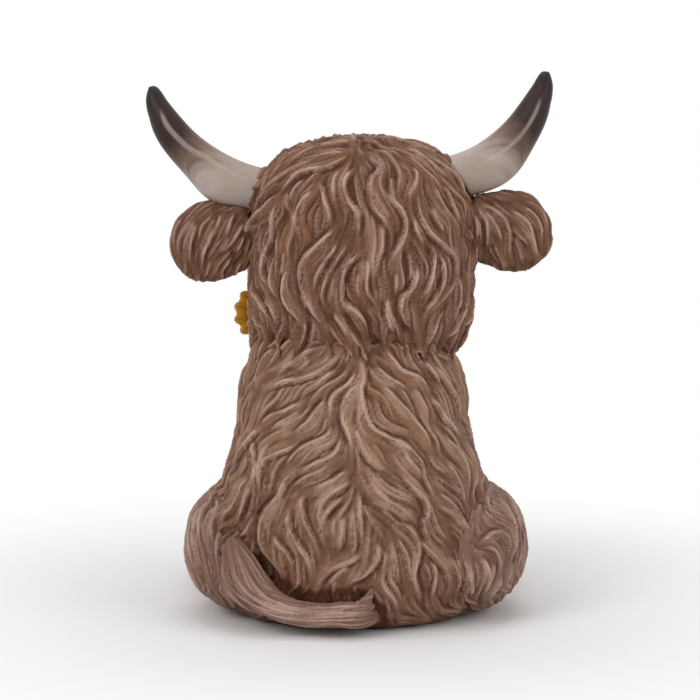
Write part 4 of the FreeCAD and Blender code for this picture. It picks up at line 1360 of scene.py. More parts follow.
def seam_lock(inner: str, outer: str, radius: float, inset: float) -> Lock:
    """A roll of hair along the line where one node comes out of another.

    Args:
        inner: The node that comes out.
        outer: The node that it comes out of.
        radius: How thick the roll is.
        inset: How far its middle lies under the skin.

    Returns:
        The roll, once round.
    """
    skins = node_surface(inner), node_surface(outer)
    places = []
    outs = []
    for name, other in ((inner, skins[1]), (outer, skins[0])):
        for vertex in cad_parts[name].data.vertices:
            place = vertex.co / MM
            near, normal, _, _ = other.find_nearest(place, SEAM.reach)
            if near is None or place.z < SEAM.lowest:
                continue
            out = vertex.normal + normal
            if out.length < SEAM.least_bend:
                continue
            out.normalize()
            start = place + out * SEAM.rise
            if all(skin.ray_cast(start, out, SEAM.sight)[0] is None for skin in skins):
                places.append(tuple(place))
                outs.append(tuple(out))
    cloud = np.array(places)
    middle = (cloud.min(axis=0) + cloud.max(axis=0)) / 2
    across, along, _ = np.linalg.svd(cloud - cloud.mean(axis=0), full_matrices=False)[2]
    turns = np.arctan2((cloud - middle) @ along, (cloud - middle) @ across)
    bins = np.floor((turns / (2 * math.pi) + 0.5) * SEAM.steps).astype(int) % SEAM.steps
    line = []
    for step in range(SEAM.steps):
        chosen = bins == step
        if chosen.any():
            out = Vector(np.array(outs)[chosen].mean(axis=0)).normalized()
            line.append(Vector(cloud[chosen].mean(axis=0)) - out * inset)
    line += line[:2]
    return Lock(tuple(line), (radius,) * len(line))


def traced_lock(surface: BVHTree, radius: float, path: Sequence[Pixel],
                stand: tuple[float, float], tip: float) -> Lock:
    """A lock laid on a surface where the photograph shows it.

    Args:
        surface: What it lies on.
        radius: How thick its root is.
        path: Its way in the photograph's pixels.
        stand: How far its middle stands off at root and tip, in shares of the radius.
        tip: The share of its thickness that is left at its tip.

    Returns:
        The lock.
    """
    places = []
    radii = []
    for number, pixel in enumerate(path):
        way = CAMERA.ray(pixel)
        place, normal, _, _ = surface.ray_cast(EYE, way)
        if place is None:
            place, normal, _, _ = surface.find_nearest(EYE + way * (-EYE.y / way.y))
        share = number / (len(path) - 1)
        out = (stand[0] + (stand[1] - stand[0]) * share) * radius
        places.append(place + (normal - way).normalized() * out)
        radii.append(radius * (1 - (1 - tip) * share**LOCK_TAPER))
    return Lock(tuple(places), tuple(radii))


def traced_locks(traced: Sequence[Trace], under: Sequence[str],
                 stand: tuple[float, float] = (-0.5, 0.35), tip: float = 0.25) -> tuple[Lock, ...]:
    """Locks laid on some nodes where the photograph shows them.

    Args:
        traced: Each lock's root radius and its way in pixels.
        under: The nodes that they lie on.
        stand: How far they stand off at root and tip, in shares of the radius.
        tip: The share of their thickness that is left at their tips.

    Returns:
        The locks.
    """
    surface = node_surface(*under)
    return tuple(traced_lock(surface, radius, path, stand, tip) for radius, *path in traced)


def make_locks(locks: Sequence[Lock]) -> Piece:
    """One mesh of round tapered locks.

    Args:
        locks: The locks, in millimetres.

    Returns:
        The mesh, in metres.
    """
    data = bpy.data.curves.new("locks", "CURVE")
    data.dimensions = "3D"
    data.bevel_depth = MM
    data.bevel_resolution = 3
    data.resolution_u = 5
    data.use_fill_caps = True
    for lock in locks:
        line = data.splines.new("NURBS")
        line.points.add(len(lock.path) - 1)
        line.use_endpoint_u = True
        line.order_u = min(4, len(lock.path))
        for point, place, radius in zip(line.points, lock.path, lock.radii):
            point.co = (*(place * MM), 1.0)
            point.radius = radius
    piece = bpy.data.objects.new("locks", data)
    bpy.context.scene.collection.objects.link(piece)
    choose(piece)
    bpy.ops.object.convert(target="MESH")
    return bpy.context.view_layer.objects.active


@dataclass
class HairCoat:
    """A casting's skin, copied from the frame and carved into locks of hair."""

    name: str
    nodes: tuple[str, ...]
    finish: Paint
    flow: Flow
    voxel: float
    seed: int
    traced: tuple[Trace, ...] = ()
    slot: str = "painted_hair"
    fill: tuple[str, ...] = ()
    crest: Crest = Crest()
    growth: Growth = Growth()
    locks: tuple[Lock, ...] = ()
    pressed: Optional[Lock] = None
    copied: bool = True
    evened: int = 0
    softened: int = 2
    hidden: float = 2.0
    level: Optional[float] = None
    level_fade: float = 2.0
    even_fade: float = 3.0
    ridges: list[Ridge] = field(default_factory=list)
    taken: dict[Cell, list[tuple[Vector, Vector]]] = field(default_factory=dict)
    random: np.random.Generator = field(init=False)
    piece: Piece = field(init=False)
    points: np.ndarray = field(init=False)
    normals: np.ndarray = field(init=False)
    tree: KDTree = field(init=False)
    surface: BVHTree = field(init=False)

    def build(self) -> None:
        """Makes the piece from its nodes and hands it over."""
        self.random = np.random.default_rng(self.seed)
        if self.copied:
            self.piece = copy_node(self.nodes[0], self.name, *self.nodes[1:], *self.fill)
            self.remesh()
        if self.evened:
            self.even_out()
        if self.locks:
            self.add_locks()
        self.read_mesh()
        self.trace_ridges()
        self.grow_ridges()
        self.carve()
        hand_over(self.piece, self.finish, self.nodes)

    def remesh(self) -> None:
        """Even square faces over the whole piece, with nothing left inside it."""
        apply_modifier(self.piece, "REMESH", mode="VOXEL", voxel_size=self.voxel * MM)
        self.keep_outer_skin()
        name_piece(self.piece, self.name)

    def even_out(self) -> None:
        """Smooths the casting's own broad locks away and gives back the width that this costs."""
        before = mesh_arrays(self.piece)[0]
        soften(self.piece, self.evened)
        after, normals = mesh_arrays(self.piece)
        lost = np.ptp(before, axis=0) - np.ptp(after, axis=0)
        after += normals * (lost[0] / 2)
        if self.level is not None:
            share = clipped((before[:, 2:] / MM - self.level) / self.even_fade)
            after = before * (1 - share) + after * share
        write_points(self.piece, after)

    def add_locks(self) -> None:
        """Grows the free locks into the skin."""
        tubes = make_locks(self.locks)
        self.piece = joined((self.piece, tubes)) if self.copied else tubes
        self.remesh()
        soften(self.piece, self.softened)

    def keep_outer_skin(self) -> None:
        """Deletes every island of the mesh but the widest."""
        mesh = bmesh.new()
        mesh.from_mesh(self.piece.data)
        mesh.verts.ensure_lookup_table()
        seen = [False] * len(mesh.verts)
        islands = []
        for start in mesh.verts:
            if seen[start.index]:
                continue
            seen[start.index] = True
            stack = [start]
            island = []
            while stack:
                point = stack.pop()
                island.append(point)
                for edge in point.link_edges:
                    other = edge.other_vert(point)
                    if not seen[other.index]:
                        seen[other.index] = True
                        stack.append(other)
            islands.append(island)
        if len(islands) > 1:
            islands.sort(key=lambda some: max(v.co.x for v in some) - min(v.co.x for v in some))
            for island in islands[:-1]:
                bmesh.ops.delete(mesh, geom=island, context="VERTS")
            mesh.to_mesh(self.piece.data)
        mesh.free()

    def read_mesh(self) -> None:
        """Reads points and normals into arrays, in millimetres, and makes the search trees."""
        self.points, self.normals = mesh_arrays(self.piece)
        self.points /= MM
        self.tree = KDTree(len(self.points))
        for index, point in enumerate(self.points):
            self.tree.insert(point, index)
        self.tree.balance()
        faces = [tuple(polygon.vertices) for polygon in self.piece.data.polygons]
        self.surface = BVHTree.FromPolygons([Vector(point) for point in self.points], faces)

    def trace_ridges(self) -> None:
        """Lays the traced ridges on the surface, as the photograph's camera sees it."""
        middle = float(self.points[:, 1].mean())
        for strength, *path in self.traced:
            line = []
            for pixel in path:
                way = CAMERA.ray(pixel)
                place = self.surface.ray_cast(EYE, way)[0]
                if place is None:
                    beside = EYE + way * (-EYE.y / way.y)
                    place = self.surface.find_nearest(beside + way * middle)[0]
                    if (place - EYE).cross(way).length > self.hidden:
                        continue
                line.append(place)
            if len(line) > 1:
                self.add_ridge(self.smooth_line(line), strength)

    def smooth_line(self, line: Sequence[Vector]) -> list[Vector]:
        """A smooth line through points, laid back on the surface at even steps.

        Args:
            line: The points that it goes through.

        Returns:
            The finer line.
        """
        result = []
        last = len(line) - 1
        for index in range(last):
            before, start = line[max(index - 1, 0)], line[index]
            end, after = line[index + 1], line[min(index + 2, last)]
            steps = max(int((end - start).length / self.growth.step), 1)
            for step in range(steps):
                share = step / steps
                place = (
                    start * 2
                    + (end - before) * share
                    + (before * 2 - start * 5 + end * 4 - after) * share**2
                    + (start * 3 - before - end * 3 + after) * share**3
                ) / 2
                result.append(self.surface.find_nearest(place)[0])
        result.append(self.surface.find_nearest(line[-1])[0])
        return result

    def add_ridge(self, line: Sequence[Vector], strength: float) -> None:
        """Keeps a ridge and marks the room that it takes.

        Args:
            line: Its points.
            strength: How far it stands out.
        """
        points = np.array([tuple(place) for place in line])
        lean = noise.noise(line[len(line) // 2] / LEAN_SCALE + Vector((0, self.seed, 0))) * 3
        side = 1 if self.random.random() < 0.5 + lean else -1
        self.ridges.append(Ridge(points, strength, side, float(self.random.random())))
        last = len(line) - 1
        for number, place in enumerate(line):
            way = (line[min(number + 1, last)] - line[max(number - 1, 0)]).normalized()
            self.taken.setdefault(self.cell(place), []).append((place, way))

    def cell(self, point: Sequence[float]) -> Cell:
        """The cell of space that a point lies in."""
        return tuple(int(math.floor(value / self.growth.spacing)) for value in point)

    def around(self, place: Vector) -> tuple[float, Vector]:
        """What the ridges near a place do.

        Args:
            place: The place.

        Returns:
            How far the nearest is, up to one cell, and which way they run.
        """
        across, along, up = self.cell(place)
        best = self.growth.spacing
        pull = Vector()
        for x, y, z in NEAR_CELLS:
            for other, way in self.taken.get((across + x, along + y, up + z), ()):
                gap = (place - other).length
                best = min(best, gap)
                pull += way * math.exp(-((gap / self.growth.pull_reach) ** 2))
        return best, pull

    def heading(self, place: Vector, normal: Vector, bias: float, pull: Vector) -> Vector:
        """The way that the hair runs at a place: in long waves, and beside its neighbours.

        Args:
            place: The place.
            normal: The surface's normal there.
            bias: How far this lock leans.
            pull: Which way its neighbours run.

        Returns:
            A unit direction on the surface.
        """
        growth = self.growth
        way = self.flow(place)
        shift = Vector((self.seed, 0, 0))
        drift = noise.noise(place / (growth.wave * growth.drift_scale) + shift)
        wave = math.sin(2 * math.pi * place.z / growth.wave + growth.drift * drift)
        turn = growth.swing * (wave + bias)
        way = way - normal * way.dot(normal)
        if way.length < TINY:
            way = Vector((1, 0, 0)) - normal * normal.x
        way.normalize()
        way = way * math.cos(turn) + normal.cross(way) * math.sin(turn)
        way += pull * growth.pull
        way -= normal * way.dot(normal)
        return way.normalized()

    def walk(self, start: Vector, normal: Vector, length: float, bias: float) -> list[Vector]:
        """Follows the hair from a place until its length or a neighbour ends it.

        Args:
            start: The place.
            normal: The surface's normal there.
            length: How far at most; below 0 it goes against the hair.
            bias: How far this lock leans.

        Returns:
            The places along the way, without the first.
        """
        growth = self.growth
        line = []
        place = start
        stride = math.copysign(growth.step, length)
        pull = self.around(start)[1]
        for _ in range(int(abs(length) / growth.step)):
            way = self.heading(place, normal, bias, pull) * stride
            found, new_normal, _, _ = self.surface.find_nearest(place + way)
            if found is None:
                break
            room, pull = self.around(found)
            if room < growth.spacing * growth.tip_room:
                break
            place, normal = found, new_normal
            if self.level is not None and place.z < self.level:
                break
            line.append(place)
        return line

    def grow_ridges(self) -> None:
        """Fills the room between the traced ridges with grown ones."""
        growth = self.growth
        shortest, more = growth.length_range
        low, high = growth.strength
        grown = 0
        for index in self.random.permutation(len(self.points))[: growth.most * growth.tries]:
            start = Vector(self.points[index])
            if grown >= growth.most:
                break
            if self.level is not None and start.z < self.level:
                continue
            if self.around(start)[0] < growth.spacing * growth.root_room:
                continue
            normal = Vector(self.normals[index])
            length = growth.length * (shortest + more * self.random.random())
            bias = growth.bias * (self.random.random() - 0.5)
            back = self.walk(start, normal, -length * growth.backward, bias)
            front = self.walk(start, normal, length * (1 - growth.backward), bias)
            line = back[::-1] + [start] + front
            reach = len(line) * growth.step
            if reach < growth.shortest:
                continue
            share = min(reach / growth.length, 1)
            strength = low + (high - low) * share * (0.5 + 0.5 * self.random.random())
            self.add_ridge(line, strength)
            grown += 1

    def carve(self) -> None:
        """Raises the skin along every ridge and stores what the paint follows."""
        crest = self.crest
        count = len(self.points)
        power, trench, bold, tone = np.zeros((4, count))
        across = np.full(count, crest.gentle)
        nearest = np.full(count, crest.gentle * 2)
        ways = np.zeros((count, 3))
        for ridge in self.ridges:
            near = self.near_ridge(ridge)
            offset, share, run = self.lateral(ridge, near)
            away = np.abs(offset)
            taper = eased(share / crest.root_share) * eased((1 - share) / crest.tip_share)
            taper *= ridge.strength
            spread = 1 - crest.least_breadth
            breadth = crest.least_breadth + spread * min(ridge.strength, MOST_BREADTH)
            gentle_side = offset * ridge.side > 0
            width = np.where(gentle_side, crest.gentle, crest.steep) * breadth
            rounded = np.sqrt(away**2 + crest.rounding**2) - crest.rounding
            lip = np.exp(-rounded / (crest.lip * (0.5 + 0.5 * taper)))
            slope = clipped(1 - rounded / width) ** 2
            rise = (crest.lip_share * lip + (1 - crest.lip_share) * slope) * taper
            power[near] += rise**3
            dip = bell(away - crest.steep * crest.cut_share * breadth, crest.cut)
            trench[near] = np.maximum(trench[near], dip * (~gentle_side) * taper)
            ways[near] += run * (bell(away, crest.way_reach) + LEAST_WAY)[:, None]
            closer = away < nearest[near]
            nearest[near[closer]] = away[closer]
            across[near[closer]] = offset[closer]
            brushed = taper * clipped((crest.brush_reach - away) / crest.brush_fade)
            bold[near[closer]] = brushed[closer]
            tone[near[closer]] = ridge.tone
        # How near the tail lock each point lies: the coat is pressed in there, and painted shade is
        # added to hollow.
        press_shade = self.close_by()
        height = np.cbrt(power) * (1 - PRESS.flattening * press_shade)
        trench *= clipped(RELIEF.trench_top - height)
        ways = self.along_surface(ways)
        fine, broad = self.drawn_out(ways, FINE_STREAK, BROAD_STREAK)
        lined = fine * (1 - bold * RELIEF.combed) + bold * RELIEF.combed_to
        self.shape(height - press_shade * PRESS.depth, trench, lined, broad)
        # hollow: dark wash where the hair lies low or in a trench, plus painted shade close to the
        # lock that is laid on the coat.
        hollow = clipped(1 - height * RELIEF.open_below) * RELIEF.open_share
        hollow = clipped(hollow + trench * RELIEF.trench_share + press_shade)
        bold, swell = np.clip((bold, height), 0, RELIEF.most)
        self.store(
            across=across, bold=bold, swell=swell, tone=tone, hollow=hollow, fine=fine,
            broad=broad,
        )

    def close_by(self) -> np.ndarray:
        """How close each point lies to the lock that is laid on this coat, which presses the coat
        in there and darkens it with painted shade.

        Returns:
            A number from 0 to 1 at each point.
        """
        press_shade = np.zeros(len(self.points))
        if self.pressed is None:
            return press_shade
        path = self.pressed.path
        ends = path[1:-PRESS.open_ends]
        for start, end, radius in zip(path, ends, self.pressed.radii):
            reach = radius + PRESS.reach
            for step in range(PRESS.steps):
                place = start.lerp(end, step / PRESS.steps)
                for _, index, gap in self.tree.find_range(place, reach):
                    press_shade[index] = max(press_shade[index], min((reach - gap) / PRESS.fade, 1))
        return press_shade

    def near_ridge(self, ridge: Ridge) -> np.ndarray:
        """Finds what a ridge reaches.

        Args:
            ridge: The line of hair.

        Returns:
            The numbers of the points within its reach.
        """
        reach = self.crest.gentle + self.crest.margin
        found = set()
        for point in (*ridge.points[::2], ridge.points[-1]):
            found.update(index for _, index, _ in self.tree.find_range(point, reach))
        return np.array(sorted(found))

    def lateral(self, ridge: Ridge, near: np.ndarray) -> tuple[np.ndarray, ...]:
        """Where points lie beside a ridge.

        Args:
            ridge: The line of hair.
            near: The points' numbers.

        Returns:
            The signed distance across, the share of the way along, and the ridge's own way there.
        """
        places = self.points[near]
        starts = ridge.points[:-1]
        runs = ridge.points[1:] - starts
        lengths = np.maximum(np.linalg.norm(runs, axis=1), TINY)
        before = np.concatenate(([0], np.cumsum(lengths)[:-1]))
        total = float(lengths.sum())
        best = np.full(len(near), np.inf)
        share = np.zeros(len(near))
        sign = np.ones(len(near))
        way = np.zeros((len(near), 3))
        for start, run, length, so_far in zip(starts, runs, lengths, before):
            gap = places - start
            along = clipped(gap @ run / length**2)
            rest = gap - along[:, None] * run
            distance = np.einsum("ij,ij->i", rest, rest)
            closer = distance < best
            best[closer] = distance[closer]
            share[closer] = (so_far + along[closer] * length) / total
            way[closer] = run / length
            turned = np.cross(run, rest[closer])
            facing = np.einsum("ij,ij->i", turned, self.normals[near[closer]])
            sign[closer] = np.sign(facing + 1e-12)
        return np.sqrt(best) * sign, share, way

    def along_surface(self, ways: np.ndarray) -> np.ndarray:
        """Lays directions flat on the surface.

        Args:
            ways: The hair's rough way at each point, or nothing.

        Returns:
            The same ways on the surface, one unit long.
        """
        bare = np.linalg.norm(ways, axis=1) < TINY
        ways[bare] = (0, 0, -1)
        ways -= self.normals * np.einsum("ij,ij->i", ways, self.normals)[:, None]
        return ways / np.maximum(np.linalg.norm(ways, axis=1), TINY)[:, None]

    def drawn_out(self, ways: np.ndarray, *streaks: Streak) -> list[np.ndarray]:
        """Noise drawn out along the hair.

        Args:
            ways: The hair's way at each point.
            streaks: How wide and how long the streaks are.

        Returns:
            For each kind of streak, a number from 0 to 1 at each point.
        """
        strides = [ways * (sign * self.growth.step) for sign in (1, -1)]
        follows = [
            np.array([self.tree.find(place)[1] for place in self.points + stride])
            for stride in strides
        ]
        results = []
        for streak in streaks:
            total = grain(self.points / streak.cell, self.seed)
            for stride, follow in zip(strides, follows):
                place = self.points.copy()
                index = np.arange(len(place))
                for number in range(streak.steps):
                    place += stride[index]
                    index = follow[index]
                    total += grain(place / streak.cell, self.seed) * (1 - number / streak.steps)
            reach = RELIEF.streak_range * total.std()
            results.append(clipped(0.5 + (total - total.mean()) / reach))
        return results

    def shape(self, height: np.ndarray, trench: np.ndarray, fine: np.ndarray,
              broad: np.ndarray) -> None:
        """Moves the points out on ridges and in between them.

        Args:
            height: How high each point rises, in shares of the crest.
            trench: How deep the cut beside a ridge is there.
            fine: The fine streaks.
            broad: The broad streaks.
        """
        crest = self.crest
        move = height * crest.height - trench * crest.cut - crest.sink
        move += (fine - 0.5) * 2 * crest.fine + (broad - 0.5) * 2 * crest.broad
        if self.level is not None:
            move *= clipped((self.points[:, 2] - self.level) / self.level_fade)
        moved = (self.points + self.normals * move[:, None]) * MM
        if self.level is not None:
            moved[:, 2] = np.maximum(moved[:, 2], float(self.points[:, 2].min()) * MM)
        write_points(self.piece, moved)

    def store(self, **values: np.ndarray) -> None:
        """Writes the attributes that the paint reads."""
        for name, numbers in values.items():
            write_numbers(self.piece, name, numbers)


def flow_down_back(place: Vector) -> Vector:
    """Body hair: parted along the spine, outwards and down; straighter near the base.

    Args:
        place: Where the hair grows, in millimetres.

    Returns:
        Its way there.
    """
    out = 1.15 - 0.8 * (1 - unit_share(place.z / SHOULDER_HEIGHT))
    across = min(max((place.x - PARTING) / PARTING_WIDTH, -1), 1)
    if place.y > CHEST_FRONT:
        return Vector((-0.25 * across, 0, -1))
    return Vector((out * across, 0.15, -1))


def flow_from_crown(place: Vector) -> Vector:
    """Head hair: out from the crown, then down.

    Args:
        place: Where the hair grows, in millimetres.

    Returns:
        Its way there.
    """
    out = Vector((place.x, place.y, 0)) - CROWN_MIDDLE
    if out.length > TINY:
        out.normalize()
    return out + Vector((0, 0, -1.25))


def flow_down_ear(side: Side) -> Flow:
    """Ear hair: outwards and down from the head."""
    return lambda place: Vector((side.value * 0.75, 0, -0.9))


def flow_down_leg(place: Vector) -> Vector:
    """Foreleg hair: down, a little forward."""
    return Vector((0, 0.25, -1))


def flow_round_haunch(side: Side) -> Flow:
    """Haunch hair: out and down over the thigh, then forward along the foot.

    Args:
        side: Which haunch it is.

    Returns:
        The way of its hair at any place.
    """

    def flow(place: Vector) -> Vector:
        """The way at one place."""
        ahead = unit_share((place.y - THIGH_FRONT) / FOOT_REACH)
        return Vector((side.value * 0.5 * (1 - ahead), 0.15 + ahead, -1 + 0.8 * ahead))

    return flow


def flow_along_tail(place: Vector) -> Vector:
    """Tail hair: along the base to the cow's left, then up the tuft."""
    up = unit_share((TAIL_BEND - place.x) / TAIL_RISE)
    return Vector((-1 + 0.75 * up, 0, up * 1.1))


def flow_down_brow(place: Vector) -> Vector:
    """Fringe hair: forward over the brow and down."""
    return Vector((0.12 * place.x / BROW_REACH, 1, -1.2))


@dataclass(frozen=True)
class NeckFringe:
    """Tips of the head's hair that hang over the shoulders, in millimetres and degrees."""

    seed: int = 7
    count: int = 24
    first_turn: float = -28.0
    sweep: float = 236.0
    turn_spread: float = 0.05
    axis: tuple[float, float, float] = (2.0, 0.0, 0.0)
    sight: float = 90.0
    tip_height: float = 76.5
    tip_spread: float = 2.0
    lean: float = 1.6
    stand: float = 2.2
    shares: tuple[float, ...] = (-0.5, -0.35, 0.15, 0.3, 0.35)
    heights: tuple[float, ...] = (92.0, 87.5, 82.5, 79.0)
    radii: tuple[float, ...] = (2.3, 2.4, 2.1, 1.4, 0.5)

    def build(self) -> tuple[Lock, ...]:
        """Lays the locks round the sides and the throat.

        Returns:
            The locks.
        """
        random = np.random.default_rng(self.seed)
        skins = node_surface("head_casting"), node_surface("torso_casting")
        axis = Vector(self.axis)
        locks = []
        for number in range(self.count):
            turn = math.radians(self.first_turn + self.sweep * number / (self.count - 1))
            turn += random.uniform(-self.turn_spread, self.turn_spread)
            out = Vector((math.cos(turn), math.sin(turn), 0))
            tip = self.tip_height + random.uniform(-self.tip_spread, self.tip_spread)
            side = Vector((-out.y, out.x, 0)) * random.uniform(-self.lean, self.lean)
            places = []
            for share, height in zip(self.shares, (*self.heights, tip)):
                up = Vector((0, 0, height))
                start = axis + out * self.sight + up
                hits = [skin.ray_cast(start, -out)[0] for skin in skins]
                reach = max((hit - axis).dot(out) for hit in hits if hit is not None)
                places.append(axis + out * (reach + share * self.stand) + side * (share + 0.5) + up)
            locks.append(Lock(tuple(places), self.radii))
        return tuple(locks)


def tail_lock() -> Lock:
    """The tail from its root to the tip of its tuft.

    Returns:
        The lock.
    """
    surface = node_surface("torso_casting", "left_hind_leg")
    places = []
    for *pixel, radius, stand in TAIL_PATH:
        way = CAMERA.ray(pixel)
        places.append(surface.ray_cast(EYE, way)[0] - way * (radius * stand))
    return Lock(tuple(places), tuple(radius for _, _, radius, _ in TAIL_PATH))


def build_coats() -> list[HairCoat]:
    """Plans every haired casting.

    Returns:
        The coats, in the order in which they are made.
    """
    tail = tail_lock()
    body_locks = (
        seam_lock("head_casting", "torso_casting", 2.4, 1.2),
        seam_lock("left_hind_leg", "torso_casting", 2.0, 1.0),
        seam_lock("right_hind_leg", "torso_casting", 2.0, 1.0),
        *traced_locks(
            HAUNCH_LOCKS, ("torso_casting", "left_hind_leg", "right_hind_leg"), (-0.2, 0.3), 0.6
        ),
    )
    head_locks = (
        *NeckFringe().build(),
        *traced_locks(HEAD_LOCKS, ("head_casting", "torso_casting")),
        *traced_locks(ROOT_LOCKS, ("head_casting", "left_ear", "right_ear"), (-0.4, 0.0)),
        seam_lock("left_horn", "head_casting", 1.6, 0.7),
        seam_lock("right_horn", "head_casting", 1.6, 0.7),
        seam_lock("left_ear", "head_casting", 1.6, 0.3),
        seam_lock("right_ear", "head_casting", 1.6, 0.3),
        seam_lock("forelock", "head_casting", 1.9, 0.8),
    )
    tuft = traced_locks(TUFT_LOCKS, ("torso_casting", "left_hind_leg"), (0.9, 0.3))
    coats = [
        HairCoat(
            "torso_hair", ("torso_casting",), FINISHES.body_hair, flow_down_back, voxel=0.61,
            seed=11, traced=BACK_RIDGES + RUMP_RIDGES, fill=("base_plug",), level=BASE_LEVEL,
            evened=60, pressed=tail, locks=body_locks,
        ),
        HairCoat(
            "head_hair", ("head_casting",), FINISHES.head_hair, flow_from_crown, voxel=0.52,
            seed=23, traced=CROWN_RIDGES + NAPE_RIDGES, evened=70, locks=head_locks,
        ),
        HairCoat(
            "tail_hair", ("tail",), FINISHES.tail_hair, flow_along_tail, voxel=0.32, seed=71,
            traced=TAIL_RIDGES, crest=TAIL_CREST, growth=Growth(spacing=1.6, swing=0.12),
            locks=(tail, *tuft), copied=False,
        ),
        HairCoat(
            "forelock_hair", ("forelock",), FINISHES.head_hair, flow_down_brow, voxel=0.4,
            seed=83, crest=SMALL_CREST, growth=Growth(swing=0.5),
        ),
    ]
    for side, ridges, flank, tips in (
        (Side.LEFT, LEFT_EAR_RIDGES, LEFT_FLANK_RIDGES, LEFT_EAR_TIPS),
        (Side.RIGHT, RIGHT_EAR_RIDGES, RIGHT_FLANK_RIDGES, RIGHT_EAR_TIPS),
    ):
        ear, hind, fore = (f"{side.word}_{part}" for part in ("ear", "hind_leg", "foreleg"))
        coats += [
            HairCoat(
                f"{ear}_hair", (ear,), FINISHES.ear_hair, flow_down_ear(side), voxel=0.36,
                seed=31, traced=ridges, crest=SMALL_CREST,
                growth=Growth(length=18.0, swing=0.4),
                locks=traced_locks(tips, (ear,), (-0.6, 0.1)),
            ),
            HairCoat(
                f"{side.word}_hind_hair", (hind,), FINISHES.haunch_hair, flow_round_haunch(side),
                voxel=0.46, seed=47, traced=flank + RUMP_RIDGES, level=BASE_LEVEL,
            ),
            HairCoat(
                f"{fore}_hair", (fore,), FINISHES.body_hair, flow_down_leg, voxel=0.44, seed=59,
                crest=SMALL_CREST, growth=Growth(spacing=2.7, length=22.0, swing=0.6),
            ),
        ]
    return coats


@dataclass
class HornCoat(HairCoat):
    """A smooth horn with one long raised line, painted from root to tip."""

    slot: str = "painted_horn"
    crest: Crest = HORN_CREST
    root: Vector = field(default_factory=Vector)
    tip: Vector = field(default_factory=Vector)
    belly: tuple[float, float, float] = (2.4, 0.27, 0.16)
    belly_from: tuple[float, float] = (0.25, 1.1)
    blunt: float = 0.7
    blunt_from: tuple[float, float] = (0.86, 0.08)
    axis_y: float = 6.0
    strand_scale: tuple[float, float] = (60.0, 6.0)

    def grow_ridges(self) -> None:
        """A horn grows no locks."""

    def reach(self) -> np.ndarray:
        """How far each point lies on the way from root to tip.

        Returns:
            A share for each point.
        """
        out = (self.points[:, 0] - self.root.x) / (self.tip.x - self.root.x)
        up = (self.points[:, 2] - self.root.z) / (self.tip.z - self.root.z)
        return clipped((out + clipped(up)) / 2)

    def shape(self, height: np.ndarray, trench: np.ndarray, fine: np.ndarray,
              broad: np.ndarray) -> None:
        """Fills the horn's underside and rounds its tip before the raised line is made.

        Args:
            height: How high each point rises, in shares of the crest.
            trench: How deep the cut beside the line is there.
            fine: The fine streaks.
            broad: The broad streaks.
        """
        along = self.reach()
        depth, middle, spread = self.belly
        least, slope = self.belly_from
        under = clipped(least - self.normals[:, 2] * slope)
        swollen = depth * bell(along - middle, spread) * under
        self.points += self.normals * swollen[:, None]
        start, fade = self.blunt_from
        rounded = self.normals * (self.blunt * clipped((along - start) / fade))[:, None]
        rounded[:, 2] = np.minimum(rounded[:, 2], 0)
        self.points += rounded
        super().shape(height, trench, fine, broad)

    def store(self, **values: np.ndarray) -> None:
        """Writes the hair's attributes, the share of the way to the tip and the horn's grain."""
        along = self.reach()
        turn = np.arctan2(self.points[:, 1] - self.axis_y, self.points[:, 2] - self.root.z)
        length, girth = self.strand_scale
        strand = np.stack((along * length, turn * girth, np.zeros(len(along))), axis=1)
        super().store(**values, along=along)
        grained = self.piece.data.attributes.new("strand", "FLOAT_VECTOR", "POINT")
        grained.data.foreach_set("vector", strand.ravel())


def build_horns() -> list[HornCoat]:
    """Plans both horns.

    Returns:
        The horns' coats.
    """
    horns = []
    for side, lines, belly in (
        (Side.LEFT, LEFT_HORN_LINES, (2.4, 0.27, 0.16)),
        (Side.RIGHT, RIGHT_HORN_LINES, (2.3, 0.36, 0.22)),
    ):
        node = f"{side.word}_horn"
        low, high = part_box(f"{side.word}_horn")
        inner, outer = (high.x, low.x) if side is Side.LEFT else (low.x, high.x)
        horns.append(HornCoat(
            f"{node}_skin", (node,), FINISHES.horn, flow_down_leg, voxel=0.3, seed=5,
            traced=lines, belly=belly, root=Vector((inner, 0, low.z)) / MM,
            tip=Vector((outer, 0, high.z)) / MM,
        ))
    return horns


